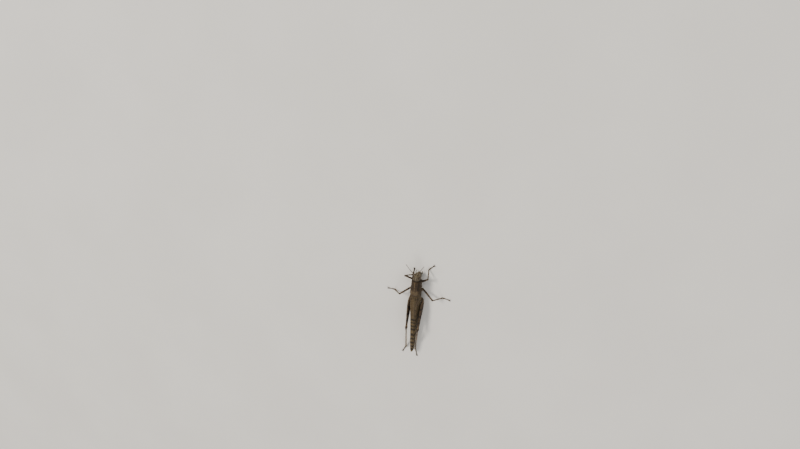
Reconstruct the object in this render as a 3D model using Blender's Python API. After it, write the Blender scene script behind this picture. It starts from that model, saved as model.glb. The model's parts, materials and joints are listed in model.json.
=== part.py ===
"""An adult Egyptian locust, life size, standing with its wings folded and its legs spread.

The animal faces -Y, its left side is +X, and its six feet stand flat on the plane z = 0. Sizes
below are in millimetres. Every piece hangs from one empty, which sets the whole animal over the
middle of its own footprint. Neighbouring pieces keep a fine gap, cut with a slightly larger copy
of whatever they fit against.
"""

import math

import bmesh
import bpy
import numpy as np
from mathutils import Matrix, Vector

MM = 0.001
GAP = 0.1  # clear space between neighbouring pieces
SIDES = {"left": 1.0, "right": -1.0}

# Body, measured along the animal from the face backwards.
FACE_Y = -29.4
HEAD_HEIGHT = 7.7
HEAD_WIDTH = 5.0
HEAD_DEPTH = 4.0
HEAD_FULLNESS = 2.25  # 2 is an oval, more is boxier
MOUTH_HEIGHT = 1.7
EYE_SIZE = (1.5, 2.1, 3.2)  # across, along, up
EYE_CENTRE = (2.08, -27.9, 7.3)
EYE_LEAN = (0.10, 0.12)  # inwards and forwards, for each millimetre of height
PRONOTUM_FRONT = -25.3
PRONOTUM_LENGTH = 10.5
PRONOTUM_CREST = 10.4
PRONOTUM_WIDTH = 7.1
LOBE_BOTTOM = 3.2
THORAX_END = -8.0
THORAX_HEIGHT = 8.1
STERNUM_HEIGHT = 2.0
ABDOMEN_END = 18.5
ABDOMEN_SEGMENTS = 8
ABDOMEN_WIDTH = 4.0
TAIL_LENGTH = 3.0
TAIL_MIDDLE = 3.6  # height of the middle of the last plate
TAIL_ROOM = 1.08  # how much larger the room cut around the last plate is
CERCUS_ROUTE = ((0.45, 20.0, 4.1), (0.74, 21.0, 4.15), (0.70, 22.4, 4.1))
CERCUS_RADII = (0.30, 0.30, 0.25, 0.14)

# Folded wings.
WING_BASE = -14.35
WING_TIP = 32.6
WING_RIDGE = 9.75
WING_THICKNESS = 0.5
WING_OVERLAP = 0.85
HINDWING_BASE = 3.0
HINDWING_TIP = 30.6

# Feelers and mouth. The palps are given by their roots and tips on the left side.
ANTENNA_RADIUS = 0.27
ANTENNA_ROUTES = {
    "left": ((0.8, -29.1, 6.9), (1.6, -30.4, 8.0), (3.2, -33.0, 9.6), (5.7, -38.5, 12.2)),
    "right": ((-0.8, -29.1, 6.9), (-1.1, -30.6, 7.8), (-2.2, -33.4, 8.9), (-5.3, -39.4, 11.4)),
}
PALP_ENDS = {
    "palp_maxillary_": ((1.75, -28.2, 3.1), (1.75, -29.3, 0.95)),
    "palp_labial_": ((1.0, -27.2, 2.3), (0.85, -27.9, 0.75)),
}
PALP_RADII = (0.27, 0.30, 0.26, 0.30, 0.27, 0.20)

# Legs: lengths of the joints of each pair.
FEMUR_LENGTH = {"fore": 7.2, "mid": 9.6, "hind": 22.6}
TIBIA_LENGTH = {"fore": 6.3, "mid": 7.2, "hind": 21.3}
TARSUS_LENGTH = {"fore": 4.6, "mid": 5.0, "hind": 5.2}
HIP = {"fore": (2.7, -22.6, 2.5), "mid": (3.6, -17.0, 2.4), "hind": (4.25, -9.6, 3.5)}
COXA_ROOT = {"fore": (1.7, -22.9, 3.0), "mid": (2.3, -16.7, 3.3), "hind": (2.3, -10.2, 3.2)}
COXA_RADIUS = {"fore": 0.85, "mid": 0.95, "hind": 1.1}
COXA_PAST_HIP = 0.45
FEMUR_RADIUS = {"fore": 0.66, "mid": 0.68}
TIBIA_RADIUS = {"fore": 0.37, "mid": 0.38, "hind": 0.46}
ANKLE_HEIGHT = 0.85
HIND_FEMUR_DEPTH = 4.7
HIND_FEMUR_BREADTH = 2.0
TARSUS_BREADTH = 0.95
TARSUS_DEPTH = 0.6
SPINE_LENGTH = 1.05
SPINE_RADIUS = 0.17
SPINE_ROWS = {"outer": 9, "inner": 10}
SPUR_LENGTHS = {0.25: 1.5, -0.35: 1.2}  # by how far each pair of spurs leans back
SPUR_CLEARANCE = 0.25  # least height of a spur's point above the floor
CLAW_SIZES = ((0.17, 0.19), (0.16, 0.18), (0.12, 0.13), (0.05, 0.06))

# Stance: bearings in degrees from straight ahead, turning outwards, and the height of each knee.
STANCE = {
    ("fore", "left"): {"femur": 58, "knee": 5.8, "tibia": -110, "tarsus": -8},
    ("fore", "right"): {"femur": 42, "knee": 5.8, "tibia": -20, "tarsus": 42},
    ("mid", "left"): {"femur": 128, "knee": 6.1, "tibia": 111, "tarsus": 92},
    ("mid", "right"): {"femur": 116, "knee": 6.6, "tibia": 99, "tarsus": 95},
    ("hind", "left"): {"femur": 180.9, "knee": 7.9, "tibia": 176.5, "tarsus": 155},
    ("hind", "right"): {"femur": 181.9, "knee": 6.9, "tibia": 186.2, "tarsus": 165},
}

# Facets around each kind of ring: enough to follow the outline, few enough to stay light.
HEAD_FACETS = 18
EYE_FACETS = 12
EYE_ROWS = 8
PRONOTUM_FACETS = 20
THORAX_FACETS = 18
ABDOMEN_FACETS = 14
TAIL_FACETS = 12
THIGH_FACETS = 10
LIMB_FACETS = 8
FEELER_FACETS = 6
CLAW_FACETS = 5
SMOOTH_ANGLE = 38  # degrees: flatter edges than this are shaded smooth

PAINTS = {
    "cuticle": ((0.105, 0.088, 0.066), 0.52),
    "crest": ((0.085, 0.070, 0.050), 0.50),
    "eye": ((0.075, 0.058, 0.042), 0.18),
    "feeler": ((0.100, 0.075, 0.050), 0.50),
    "belly": ((0.180, 0.150, 0.110), 0.50),
    "forewing": ((0.130, 0.110, 0.085), 0.45),
    "hindwing": ((0.170, 0.160, 0.150), 0.40),
    "leg": ((0.100, 0.082, 0.060), 0.50),
    "shin": ((0.120, 0.115, 0.125), 0.48),
    "foot": ((0.120, 0.095, 0.065), 0.55),
}


def clear_scene():
    for obj in list(bpy.data.objects):
        bpy.data.objects.remove(obj, do_unlink=True)


def paint(name):
    """The matte or glossy insect-shell material of this name, made once."""
    found = bpy.data.materials.get(name)
    if found:
        return found
    colour, roughness = PAINTS[name]
    made = bpy.data.materials.new(name)
    made.use_nodes = True
    shader = made.node_tree.nodes["Principled BSDF"]
    shader.inputs["Base Color"].default_value = (*colour, 1.0)
    shader.inputs["Roughness"].default_value = roughness
    shader.inputs["Metallic"].default_value = 0.0
    return made


def lerp(a, b, t):
    return a + (b - a) * t


def along(stations, at):
    """Each column of a short table of stations, read at the value `at` of its first column."""
    table = np.array(stations, float)
    return [float(np.interp(at, table[:, 0], column)) for column in table.T[1:]]


def curve_through(points, count):
    """`count` points spaced evenly in parameter on a Catmull-Rom curve through the given ones."""
    p = [Vector(q) for q in points]
    p = [2 * p[0] - p[1], *p, 2 * p[-1] - p[-2]]
    spans = len(p) - 3
    route = []
    for i in range(count):
        u = i * spans / (count - 1)
        k = min(int(u), spans - 1)
        t = u - k
        a, b, c, d = p[k : k + 4]
        bend = 2 * a - 5 * b + 4 * c - d
        twist = 3 * b - 3 * c + d - a
        route.append(0.5 * (2 * b + (c - a) * t + bend * t**2 + twist * t**3))
    return route


# ---------------------------------------------------------------- meshes


def new_object(name, mesh, material, parent):
    obj = bpy.data.objects.new(name, mesh)
    mesh.materials.append(paint(material))
    bpy.context.scene.collection.objects.link(obj)
    obj.parent = parent
    return obj


def mesh_from(bm, name):
    bmesh.ops.recalc_face_normals(bm, faces=bm.faces)
    mesh = bpy.data.meshes.new(name)
    bm.to_mesh(mesh)
    bm.free()
    mesh.shade_smooth()
    mesh.set_sharp_from_angle(angle=math.radians(SMOOTH_ANGLE))
    return mesh


def add_loft(bm, rings, thin=False):
    """A closed body through rings of equal count. Round ends are filled from their middle. The
    ends of a thin sheet, whose rings run out along one face and back along the other, are
    filled straight across."""
    rows = [[bm.verts.new(Vector(p) * MM) for p in ring] for ring in rings]
    for near, far in zip(rows, rows[1:]):
        for i in range(len(near)):
            j = (i + 1) % len(near)
            bm.faces.new((near[i], near[j], far[j], far[i]))
    for row in (rows[0], rows[-1]):
        if thin:
            for i in range(len(row) // 2 - 1):
                bm.faces.new((row[i], row[i + 1], row[-2 - i], row[-1 - i]))
            continue
        middle = bm.verts.new(sum((v.co for v in row), Vector()) / len(row))
        for i in range(len(row)):
            bm.faces.new((row[i], row[(i + 1) % len(row)], middle))


def loft(name, rings, material, parent, thin=False):
    bm = bmesh.new()
    add_loft(bm, rings, thin)
    return new_object(name, mesh_from(bm, name), material, parent)


def power(value, exponent):
    """`value` to a power, with its sign kept: a fuller or leaner curve than a sine."""
    return math.copysign(abs(value) ** exponent, value)


def body_ring(y, half_width, top, bottom, widest, fullness, count, lean=0.0, sweep=0.0):
    """One cross-section of the trunk, rounded above and below its widest height. It reaches back
    by `lean` for each millimetre of height, and by `sweep` for each one towards the middle."""
    ring = []
    for i in range(count):
        turn = 2 * math.pi * i / count
        x = half_width * power(math.cos(turn), 2 / fullness)
        rise = power(math.sin(turn), 2 / fullness)
        z = widest + rise * ((top - widest) if rise > 0 else (widest - bottom))
        ring.append((x, y + lean * (z - top) - sweep * abs(x), z))
    return ring


def tube_rings(route, sizes, sides, up=(0, 0, 1), fullness=2.0):
    """Rings across a route, each with its own (half breadth, half depth)."""
    rings = []
    route = [Vector(p) for p in route]
    for i, point in enumerate(route):
        ahead = route[min(i + 1, len(route) - 1)] - route[max(i - 1, 0)]
        ahead.normalize()
        across = ahead.cross(Vector(up)).normalized()
        lift = across.cross(ahead)
        breadth, depth = sizes[i]
        ring = []
        for k in range(sides):
            turn = 2 * math.pi * (k + 0.5) / sides
            ring.append(
                point
                + across * breadth * power(math.cos(turn), 2 / fullness)
                + lift * depth * power(math.sin(turn), 2 / fullness)
            )
        rings.append(ring)
    return rings


def cutter(name, rings, parent):
    """A hidden body that only cuts its neighbours."""
    obj = loft(name, rings, "cuticle", parent)
    hide(obj)
    return obj


def hide(obj):
    obj.hide_render = True
    obj.display_type = "WIRE"


def combine(obj, other, operation):
    """A live Boolean. It also joins the crossing bodies of one cutter, such as a row of thorns."""
    modifier = obj.modifiers.new(operation.title() + " " + other.name, "BOOLEAN")
    modifier.operation = operation
    modifier.solver = "EXACT"
    modifier.use_self = True
    modifier.object = other


def cut(obj, *others):
    for other in others:
        combine(obj, other, "DIFFERENCE")


# ---------------------------------------------------------------- trunk


# Each of the functions below makes a piece, or with `grow` the larger copy that cuts its neighbours.


def head_rings(grow=0.0):
    """Level rings from the lip up to the crown. Columns: share of the height, share of the width,
    set-back of the face, set-forward of the nape."""
    stations = (
        (0.00, 0.30, 1.45, 1.75),
        (0.06, 0.52, 1.05, 1.25),
        (0.16, 0.76, 0.68, 0.75),
        (0.30, 0.92, 0.34, 0.28),
        (0.46, 0.99, 0.10, 0.04),
        (0.62, 1.00, 0.00, 0.00),
        (0.76, 0.95, 0.12, 0.00),
        (0.88, 0.82, 0.48, 0.16),
        (0.96, 0.58, 1.05, 0.55),
        (1.00, 0.26, 1.75, 1.15),
    )
    rings = []
    for height, width, face, nape in stations:
        front = FACE_Y + face - grow
        back = FACE_Y + HEAD_DEPTH - nape + grow
        half = HEAD_WIDTH / 2 * width + grow
        z = MOUTH_HEIGHT + height * HEAD_HEIGHT
        ring = []
        for i in range(HEAD_FACETS):
            turn = 2 * math.pi * i / HEAD_FACETS
            x = half * power(math.cos(turn), 2 / HEAD_FULLNESS)
            y = (front + back) / 2 + (back - front) / 2 * power(math.sin(turn), 2 / HEAD_FULLNESS)
            ring.append((x, y, z))
        rings.append(ring)
    return rings


def eye_rings(side, grow=0.0):
    """An upright oval, its level rings leaning forward and inwards a little towards the crown."""
    across, length, height = (s / 2 + grow for s in EYE_SIZE)
    cx, cy, cz = EYE_CENTRE
    inward, forward = EYE_LEAN
    rings = []
    for k in range(1, EYE_ROWS):
        polar = math.pi * k / EYE_ROWS
        ring = []
        for i in range(EYE_FACETS):
            turn = 2 * math.pi * i / EYE_FACETS
            z = -math.cos(polar) * height
            x = math.sin(polar) * math.cos(turn) * across
            y = math.sin(polar) * math.sin(turn) * length - forward * z
            ring.append(((cx + x - inward * z) * side, cy + y, cz + z))
        rings.append(ring)
    return rings


def pronotum_rings(grow=0.0):
    """The saddle from its rolled front edge to its pointed hind edge. Columns: share of the
    length, share of the width, drop of the crest, rise of the lower edge, lean, sweep."""
    stations = (
        (0.00, 0.82, 1.05, 0.75, 0.00, 0.00),
        (0.06, 0.88, 0.72, 0.30, 0.01, 0.00),
        (0.30, 0.90, 0.66, 0.00, 0.02, 0.00),
        (0.36, 0.88, 0.78, 0.00, 0.02, 0.00),
        (0.42, 0.91, 0.58, 0.05, 0.03, 0.00),
        (0.56, 0.92, 0.48, 0.15, 0.08, 0.02),
        (0.61, 0.91, 0.56, 0.20, 0.12, 0.04),
        (0.67, 0.94, 0.34, 0.35, 0.17, 0.08),
        (0.84, 0.98, 0.12, 0.80, 0.25, 0.20),
        (1.00, 1.00, 0.00, 1.50, 0.32, 0.32),
    )
    rings = []
    for share, width, drop, rise, lean, sweep in stations:
        y = PRONOTUM_FRONT + share * PRONOTUM_LENGTH
        y += grow * (1 if share == 1 else -1 if share == 0 else 0)
        rings.append(
            body_ring(
                y,
                PRONOTUM_WIDTH / 2 * width + grow,
                PRONOTUM_CREST - drop + grow,
                LOBE_BOTTOM + rise - grow,
                lerp(LOBE_BOTTOM, PRONOTUM_CREST, 0.28),
                fullness=2.5,
                count=PRONOTUM_FACETS,
                lean=lean,
                sweep=sweep,
            )
        )
    return rings


def thorax_rings(grow=0.0):
    """Breastplate and flanks. Columns: y, half width, top, bottom."""
    stations = (
        (-24.6, 1.5, 5.0, 2.9),
        (-23.6, 2.0, 6.0, 2.35),
        (-20.5, 2.60, 7.0, 2.1),
        (-17.5, 2.90, 7.7, STERNUM_HEIGHT),
        (-14.2, 2.95, THORAX_HEIGHT, STERNUM_HEIGHT),
        (-11.0, 2.90, THORAX_HEIGHT, STERNUM_HEIGHT + 0.1),
        (THORAX_END, 2.45, THORAX_HEIGHT - 0.4, STERNUM_HEIGHT + 0.3),
    )
    last = len(stations) - 1
    widest = 3.7
    rings = []
    for i, (y, half, top, bottom) in enumerate(stations):
        y += grow * (1 if i == last else -1 if i == 0 else 0)
        ring = body_ring(y, half + grow, top + grow, bottom - grow, widest, 2.15, THORAX_FACETS)
        rings.append(ring)
    return rings


def abdomen_shape(y):
    """(half width, top, bottom) of the abdomen at y."""
    stations = (
        (THORAX_END, ABDOMEN_WIDTH / 2, 7.4, 2.3),
        (-4.0, ABDOMEN_WIDTH / 2, 7.1, 2.35),
        (2.0, 1.85, 6.5, 2.45),
        (8.0, 1.68, 5.75, 2.55),
        (14.0, 1.42, 5.1, 2.6),
        (ABDOMEN_END, 1.15, 4.7, 2.55),
    )
    return along(stations, y)


def abdomen_rings():
    """Each plate flares a little over the front of the next."""
    rings = []
    start = THORAX_END + GAP
    length = (ABDOMEN_END - start) / ABDOMEN_SEGMENTS
    for segment in range(ABDOMEN_SEGMENTS):
        for share, flare in ((0.03, -0.07), (0.97, 0.05)):
            y = start + (segment + share) * length
            half, top, bottom = abdomen_shape(y)
            middle = lerp(bottom, top, 0.48)
            ring = body_ring(y, half + flare, top + flare, bottom - flare, middle, 2.2, ABDOMEN_FACETS)
            rings.append(ring)
    return rings


def tail_rings():
    """The last plate, closed below by the upturned boat-shaped plate of the male. Columns: share
    of the length, share of the width, rise of the lower edge."""
    stations = (
        (0.00, 1.00, 0.00),
        (0.30, 0.95, 0.05),
        (0.60, 0.78, 0.35),
        (0.85, 0.50, 0.85),
        (1.00, 0.22, 1.20),
    )
    start = ABDOMEN_END + GAP
    rings = []
    for share, size, rise in stations:
        y = start + share * TAIL_LENGTH
        top = 4.6 - 0.35 * share
        widest = 3.55 + 0.4 * share
        rings.append(body_ring(y, 1.08 * size, top, 2.6 + rise, widest, 2.1, TAIL_FACETS))
    return rings


def build_trunk(parent):
    head = loft("head", head_rings(), "cuticle", parent)
    eye_cutters = []
    for word, side in SIDES.items():
        loft("eye_" + word, eye_rings(side), "eye", parent)
        eye_cutters.append(cutter("eye_socket_" + word, eye_rings(side, GAP / 2), parent))
    cut(head, *eye_cutters)
    loft("pronotum", pronotum_rings(), "crest", parent)
    collar = cutter("pronotum_clearance", pronotum_rings(GAP), parent)
    thorax = loft("thorax", thorax_rings(), "cuticle", parent)
    nape = cutter("head_clearance", head_rings(GAP), parent)
    cut(thorax, collar, nape)
    loft("abdomen", abdomen_rings(), "belly", parent)
    loft("subgenital_plate", tail_rings(), "belly", parent)
    tail_room = [
        [(x * TAIL_ROOM, y, lerp(TAIL_MIDDLE, z, TAIL_ROOM)) for x, y, z in ring]
        for ring in tail_rings()
    ]
    return {
        "thorax": cutter("thorax_clearance", thorax_rings(GAP), parent),
        "pronotum": collar,
        "head": nape,
        "tail": cutter("tail_clearance", tail_room, parent),
    }


# ---------------------------------------------------------------- wings


def wing_shape(y):
    """(ridge height, half width, lower edge, lean of the base, sweep of the base) at y."""
    stations = (
        (WING_BASE, WING_RIDGE - 0.10, 3.35, 5.2, 0.32, 0.32),
        (-11.0, WING_RIDGE, 3.45, 5.0, 0.18, 0.15),
        (-6.0, WING_RIDGE - 0.45, 3.10, 4.6, 0.05, 0.0),
        (0.0, WING_RIDGE - 1.00, 2.70, 4.0, 0.0, 0.0),
        (6.0, WING_RIDGE - 1.55, 2.40, 3.7, 0.0, 0.0),
        (12.0, WING_RIDGE - 2.10, 2.10, 3.5, 0.0, 0.0),
        (18.0, WING_RIDGE - 2.65, 1.85, 3.3, 0.0, 0.0),
        (24.0, WING_RIDGE - 3.20, 1.60, 3.15, 0.0, 0.0),
        (28.5, WING_RIDGE - 3.65, 1.40, 3.10, 0.0, 0.0),
        (31.2, WING_RIDGE - 4.15, 1.15, 3.35, 0.0, 0.0),
        (WING_TIP, WING_RIDGE - 4.85, 0.85, 3.95, 0.0, 0.0),
    )
    return along(stations, y)


def sheet_ring(outer, thickness):
    """A thin strip under a cross-section line: the line itself, then its copy set inwards."""
    inner = []
    for i, point in enumerate(outer):
        ahead = Vector(outer[min(i + 1, len(outer) - 1)]) - Vector(outer[max(i - 1, 0)])
        inward = Vector((ahead.z, 0.0, -ahead.x)).normalized()
        if inward.z > 0 or (abs(inward.z) < 1e-6 and inward.x * point[0] > 0):
            inward.negate()
        inner.append(Vector(point) + inward * thickness)
    return [*(Vector(p) for p in outer), *reversed(inner)]


def tegmen_section(y, side):
    """Outer line of a folded forewing at y, from its inner edge over the back down to its front
    edge. The left wing lies over the right one along the middle of the back."""
    ridge, half, low, lean, sweep = wing_shape(y)
    height = ridge - low
    overlap = min(WING_OVERLAP, half * 0.34)
    if side > 0:
        under = 0.0
        line = [(-overlap, 0.22), (0.0, 0.03), (overlap, 0.24)]
    else:
        under = WING_THICKNESS + 1.8 * GAP
        line = [
            (-overlap * 0.8, 0.22 + under * 1.35),
            (0.0, 0.03 + under * 1.05),
            (overlap, 0.24 + under * 0.93),
        ]
    line += [(half * 0.60, 0.17 * height + 0.1 * under), (half * 0.82, 0.40 * height)]
    line += [(half * 0.94, 0.70 * height), (half, height)]
    return [(side * x, y - lean * drop - sweep * abs(x), ridge - drop) for x, drop in line]


def hindwing_section(y, side):
    """Outer line of a folded hindwing: a narrow pleated strip between the back of the abdomen
    and the forewing over it."""
    stations = (
        (HINDWING_BASE, 6.98, 1.50),
        (8.0, 6.42, 1.35),
        (14.0, 5.78, 1.15),
        (ABDOMEN_END, 5.40, 1.00),
        (24.0, 5.15, 0.72),
        (HINDWING_TIP, 4.35, 0.50),
    )
    top, half = along(stations, y)
    pleats = ((0.0, 0.0), (0.35, 0.12), (0.55, 0.10), (0.8, 0.34), (1.0, 0.60))
    return [(side * lerp(0.25, half, share), y, top - drop * half / 1.5) for share, drop in pleats]


def build_wings(parent):
    tegmen_rows = [*np.linspace(WING_BASE, -6, 5)[:-1], *np.linspace(-6, 30, 11), 31.4, WING_TIP]
    hindwing_rows = np.linspace(HINDWING_BASE, HINDWING_TIP, 9)
    for word, side in SIDES.items():
        rings = [sheet_ring(tegmen_section(y, side), WING_THICKNESS) for y in tegmen_rows]
        loft("tegmen_" + word, rings, "forewing", parent, thin=True)
        rings = [sheet_ring(hindwing_section(y, side), WING_THICKNESS) for y in hindwing_rows]
        loft("hindwing_" + word, rings, "hindwing", parent, thin=True)


# ---------------------------------------------------------------- head fittings


def antenna_rings(side_word):
    """A feeler, thicker in its two lowest joints and a little finer towards its tip."""
    route = curve_through(ANTENNA_ROUTES[side_word], 14)
    sizes = []
    for i in range(len(route)):
        share = i / (len(route) - 1)
        radius = ANTENNA_RADIUS * (1.6 if i == 0 else 1.35 if i == 1 else 1.0)
        radius *= lerp(1.0, 0.94, share)
        sizes.append((radius, radius))
    return tube_rings(route, sizes, FEELER_FACETS)


def palp_rings(root, tip, side):
    """A short jointed feeler beside the mouth, ending in a blunt pad."""
    elbow = (root[0] + 0.35, root[1] - 0.15, lerp(root[2], tip[2], 0.45))
    route = curve_through([(x * side, y, z) for x, y, z in (root, elbow, tip)], len(PALP_RADII))
    return tube_rings(route, [(r, r) for r in PALP_RADII], FEELER_FACETS, up=(0, 1, 0))


def build_head_fittings(parent, clearances):
    for word, side in SIDES.items():
        antenna = loft("antenna_" + word, antenna_rings(word), "feeler", parent)
        cut(antenna, clearances["head"])
        for name, (root, tip) in PALP_ENDS.items():
            palp = loft(name + word, palp_rings(root, tip, side), "feeler", parent)
            cut(palp, clearances["head"])


def build_tail_feelers(parent, clearances):
    for word, side in SIDES.items():
        points = [(x * side, y, z) for x, y, z in CERCUS_ROUTE]
        route = curve_through(points, len(CERCUS_RADII))
        rings = tube_rings(route, [(r, r) for r in CERCUS_RADII], FEELER_FACETS)
        cercus = loft("cercus_" + word, rings, "belly", parent)
        cut(cercus, clearances["tail"])


# ---------------------------------------------------------------- legs


def heading(bearing, side):
    """A level direction `bearing` degrees outwards from straight ahead."""
    turn = math.radians(bearing)
    return Vector((side * math.sin(turn), -math.cos(turn), 0.0))


def reach(start, bearing, side, length, height):
    """The point at this height, `length` away from `start` along the bearing."""
    fall = height - start.z
    level = math.sqrt(length**2 - fall**2)
    return start + heading(bearing, side) * level + Vector((0, 0, fall))


def leg_joints(pair, word):
    side = SIDES[word]
    stance = STANCE[pair, word]
    root, hip = (Vector((p[0] * side, p[1], p[2])) for p in (COXA_ROOT[pair], HIP[pair]))
    knee = reach(hip, stance["femur"], side, FEMUR_LENGTH[pair], stance["knee"])
    ankle = reach(knee, stance["tibia"], side, TIBIA_LENGTH[pair], ANKLE_HEIGHT)
    return root, hip, knee, ankle


def coxa_rings(root, hip, radius, grow=0.0):
    """A stout ball-like joint from the breastplate to the thigh."""
    end = hip + (hip - root).normalized() * COXA_PAST_HIP
    stations = ((0.0, 0.95), (0.35, 1.0), (0.7, 0.88), (1.0, 0.5))
    return station_tube(root, end, stations, radius, radius, grow)


def slim_femur_rings(hip, knee, radius, grow=0.0):
    """A walking thigh, a little narrower across than it is deep, with a swollen knee."""
    stations = (
        (-0.02, 0.55),
        (0.08, 0.85),
        (0.30, 1.00),
        (0.65, 0.92),
        (0.88, 0.80),
        (0.96, 0.92),
        (1.03, 0.62),
    )
    return station_tube(hip, knee, stations, radius * 0.88, radius, grow)


def hind_femur_rings(hip, knee, grow=0.0):
    """The jumping thigh: deep and flat near the body, slender towards the swollen knee. Columns:
    share of the length, share of the depth, share of the breadth."""
    stations = (
        (0.00, 0.34, 0.55),
        (0.05, 0.62, 0.82),
        (0.14, 0.90, 0.98),
        (0.27, 1.00, 1.00),
        (0.45, 0.86, 0.92),
        (0.62, 0.62, 0.78),
        (0.78, 0.44, 0.64),
        (0.88, 0.39, 0.60),
        (0.945, 0.47, 0.72),
        (0.99, 0.43, 0.64),
        (1.015, 0.26, 0.40),
    )
    route = [lerp(hip, knee, row[0]) for row in stations]
    sizes = [
        (HIND_FEMUR_BREADTH / 2 * breadth + grow, HIND_FEMUR_DEPTH / 2 * depth + grow)
        for _, depth, breadth in stations
    ]
    return tube_rings(route, sizes, THIGH_FACETS, fullness=1.8)


def station_tube(start, end, stations, breadth, depth, grow=0.0):
    """A straight tube whose stations are (share of the length, share of the size)."""
    route = [lerp(start, end, share) for share, _ in stations]
    sizes = [(breadth * size + grow, depth * size + grow) for _, size in stations]
    return tube_rings(route, sizes, LIMB_FACETS)


def tibia_rings(knee, ankle, radius, grow=0.0):
    """A shin, swollen at the knee and flared where the foot joins it."""
    stations = (
        (0.000, 1.05),
        (0.040, 1.15),
        (0.100, 0.92),
        (0.500, 0.88),
        (0.930, 1.00),
        (0.985, 1.22),
        (1.000, 1.00),
    )
    return station_tube(knee, ankle, stations, radius, radius, grow)


def add_spine(bm, base, tip):
    """A three-sided thorn."""
    axis = (tip - base).normalized()
    side = axis.orthogonal().normalized() * SPINE_RADIUS
    ring = [base + Matrix.Rotation(2 * math.pi * k / 3, 3, axis) @ side for k in range(3)]
    corners = [bm.verts.new(p * MM) for p in ring]
    point = bm.verts.new(tip * MM)
    bm.faces.new(reversed(corners))
    for k in range(3):
        bm.faces.new((corners[k], corners[(k + 1) % 3], point))


def spine_rows(knee, ankle, side):
    """Two rows of thorns along the back of a hind shin, and two pairs of spurs at its end."""
    axis = (ankle - knee).normalized()
    across = axis.cross(Vector((0, 0, 1))).normalized()
    back = across.cross(axis)
    length = (ankle - knee).length
    radius = TIBIA_RADIUS["hind"]
    bm = bmesh.new()
    for row, count in SPINE_ROWS.items():
        lateral = across * (1 if (row == "outer") == (side > 0) else -1)
        for k in range(count):
            share = lerp(0.30, 0.95, k / (count - 1))
            base = knee + axis * length * share + (lateral * 0.75 + back * 0.55) * radius * 0.6
            tip = base + (lateral * 0.62 + back * 0.62 + axis * 0.55).normalized() * SPINE_LENGTH
            add_spine(bm, base, tip)
    for lateral in (across, -across):
        for lean, spur in SPUR_LENGTHS.items():
            base = knee + axis * (length - 0.25) + lateral * radius * 0.5
            tip = base + (lateral * 0.55 + back * lean * 0.6 + axis * 0.8).normalized() * spur
            tip.z = max(tip.z, SPUR_CLEARANCE)
            add_spine(bm, base, tip)
    return bm


def tarsus_rings(ankle, bearing, side, length):
    """Three-jointed foot with a flat sole on the floor. Columns: share of the length, share of the
    breadth, share of the depth. The outline runs round each ring as (breadth, depth) shares."""
    ahead = heading(bearing, side)
    across = Vector((-ahead.y, ahead.x, 0))
    left_half = ((-0.55, 0), (-1, 0.30), (-0.85, 0.72), (-0.35, 1))
    outline = (*left_half, *((-x, z) for x, z in reversed(left_half)))
    stations = (
        (-0.08, 0.62, 0.75),
        (0.00, 0.80, 1.15),
        (0.14, 0.90, 1.05),
        (0.30, 1.00, 0.85),
        (0.36, 0.80, 0.75),
        (0.46, 0.90, 0.85),
        (0.52, 0.70, 0.80),
        (0.80, 0.72, 0.85),
        (0.95, 0.95, 1.00),
        (1.00, 0.80, 0.80),
    )
    start = Vector((ankle.x, ankle.y, 0.0))
    rings = []
    for share, breadth, depth in stations:
        centre = start + ahead * (share * length)
        half = TARSUS_BREADTH / 2 * breadth
        top = TARSUS_DEPTH * depth
        rings.append([centre + across * (x * half) + Vector((0, 0, z * top)) for x, z in outline])
    return rings


def claw_rings(ankle, bearing, side, length, turn):
    """One of the two hooked claws, from inside the foot's end outwards and down."""
    ahead = heading(bearing, side)
    across = Vector((-ahead.y, ahead.x, 0)) * turn
    toe = Vector((ankle.x, ankle.y, 0.0)) + ahead * length
    steps = ((-0.25, 0.12, 0.36), (0.20, 0.34, 0.42), (0.55, 0.52, 0.32), (0.75, 0.58, 0.14))
    route = [toe + ahead * on + across * out + Vector((0, 0, up)) for on, out, up in steps]
    return tube_rings(route, CLAW_SIZES, CLAW_FACETS)


def build_leg(pair, word, parent, clearances):
    side = SIDES[word]
    suffix = pair + "_" + word
    root, hip, knee, ankle = leg_joints(pair, word)

    rings, room = (coxa_rings(root, hip, COXA_RADIUS[pair], grow) for grow in (0.0, GAP))
    coxa = loft("coxa_" + suffix, rings, "cuticle", parent)
    cut(coxa, clearances["thorax"], clearances["pronotum"])
    coxa_room = cutter("coxa_clearance_" + suffix, room, parent)

    if pair == "hind":
        rings, room = (hind_femur_rings(hip, knee, grow) for grow in (0.0, GAP))
    else:
        rings, room = (slim_femur_rings(hip, knee, FEMUR_RADIUS[pair], grow) for grow in (0.0, GAP))
    femur = loft("femur_" + suffix, rings, "leg", parent)
    cut(femur, coxa_room, clearances["thorax"], clearances["pronotum"])
    femur_room = cutter("femur_clearance_" + suffix, room, parent)

    rings, room = (tibia_rings(knee, ankle, TIBIA_RADIUS[pair], grow) for grow in (0.0, GAP))
    tibia = loft("tibia_" + suffix, rings, "shin", parent)
    cut(tibia, femur_room)
    tibia_room = cutter("tibia_clearance_" + suffix, room, parent)
    if pair == "hind":
        thorns = spine_rows(knee, ankle, side)
        thorns = new_object("thorns_" + word, mesh_from(thorns, "thorns_" + word), "shin", parent)
        hide(thorns)
        combine(tibia, thorns, "UNION")

    bearing = STANCE[pair, word]["tarsus"]
    length = TARSUS_LENGTH[pair]
    tarsus = loft("tarsus_" + suffix, tarsus_rings(ankle, bearing, side, length), "foot", parent)
    for turn in (-1, 1):
        claw = cutter(
            "claw_" + suffix + ("_a" if turn < 0 else "_b"),
            claw_rings(ankle, bearing, side, length, turn),
            parent,
        )
        combine(tarsus, claw, "UNION")
    cut(tarsus, tibia_room)


# ---------------------------------------------------------------- whole animal


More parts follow.
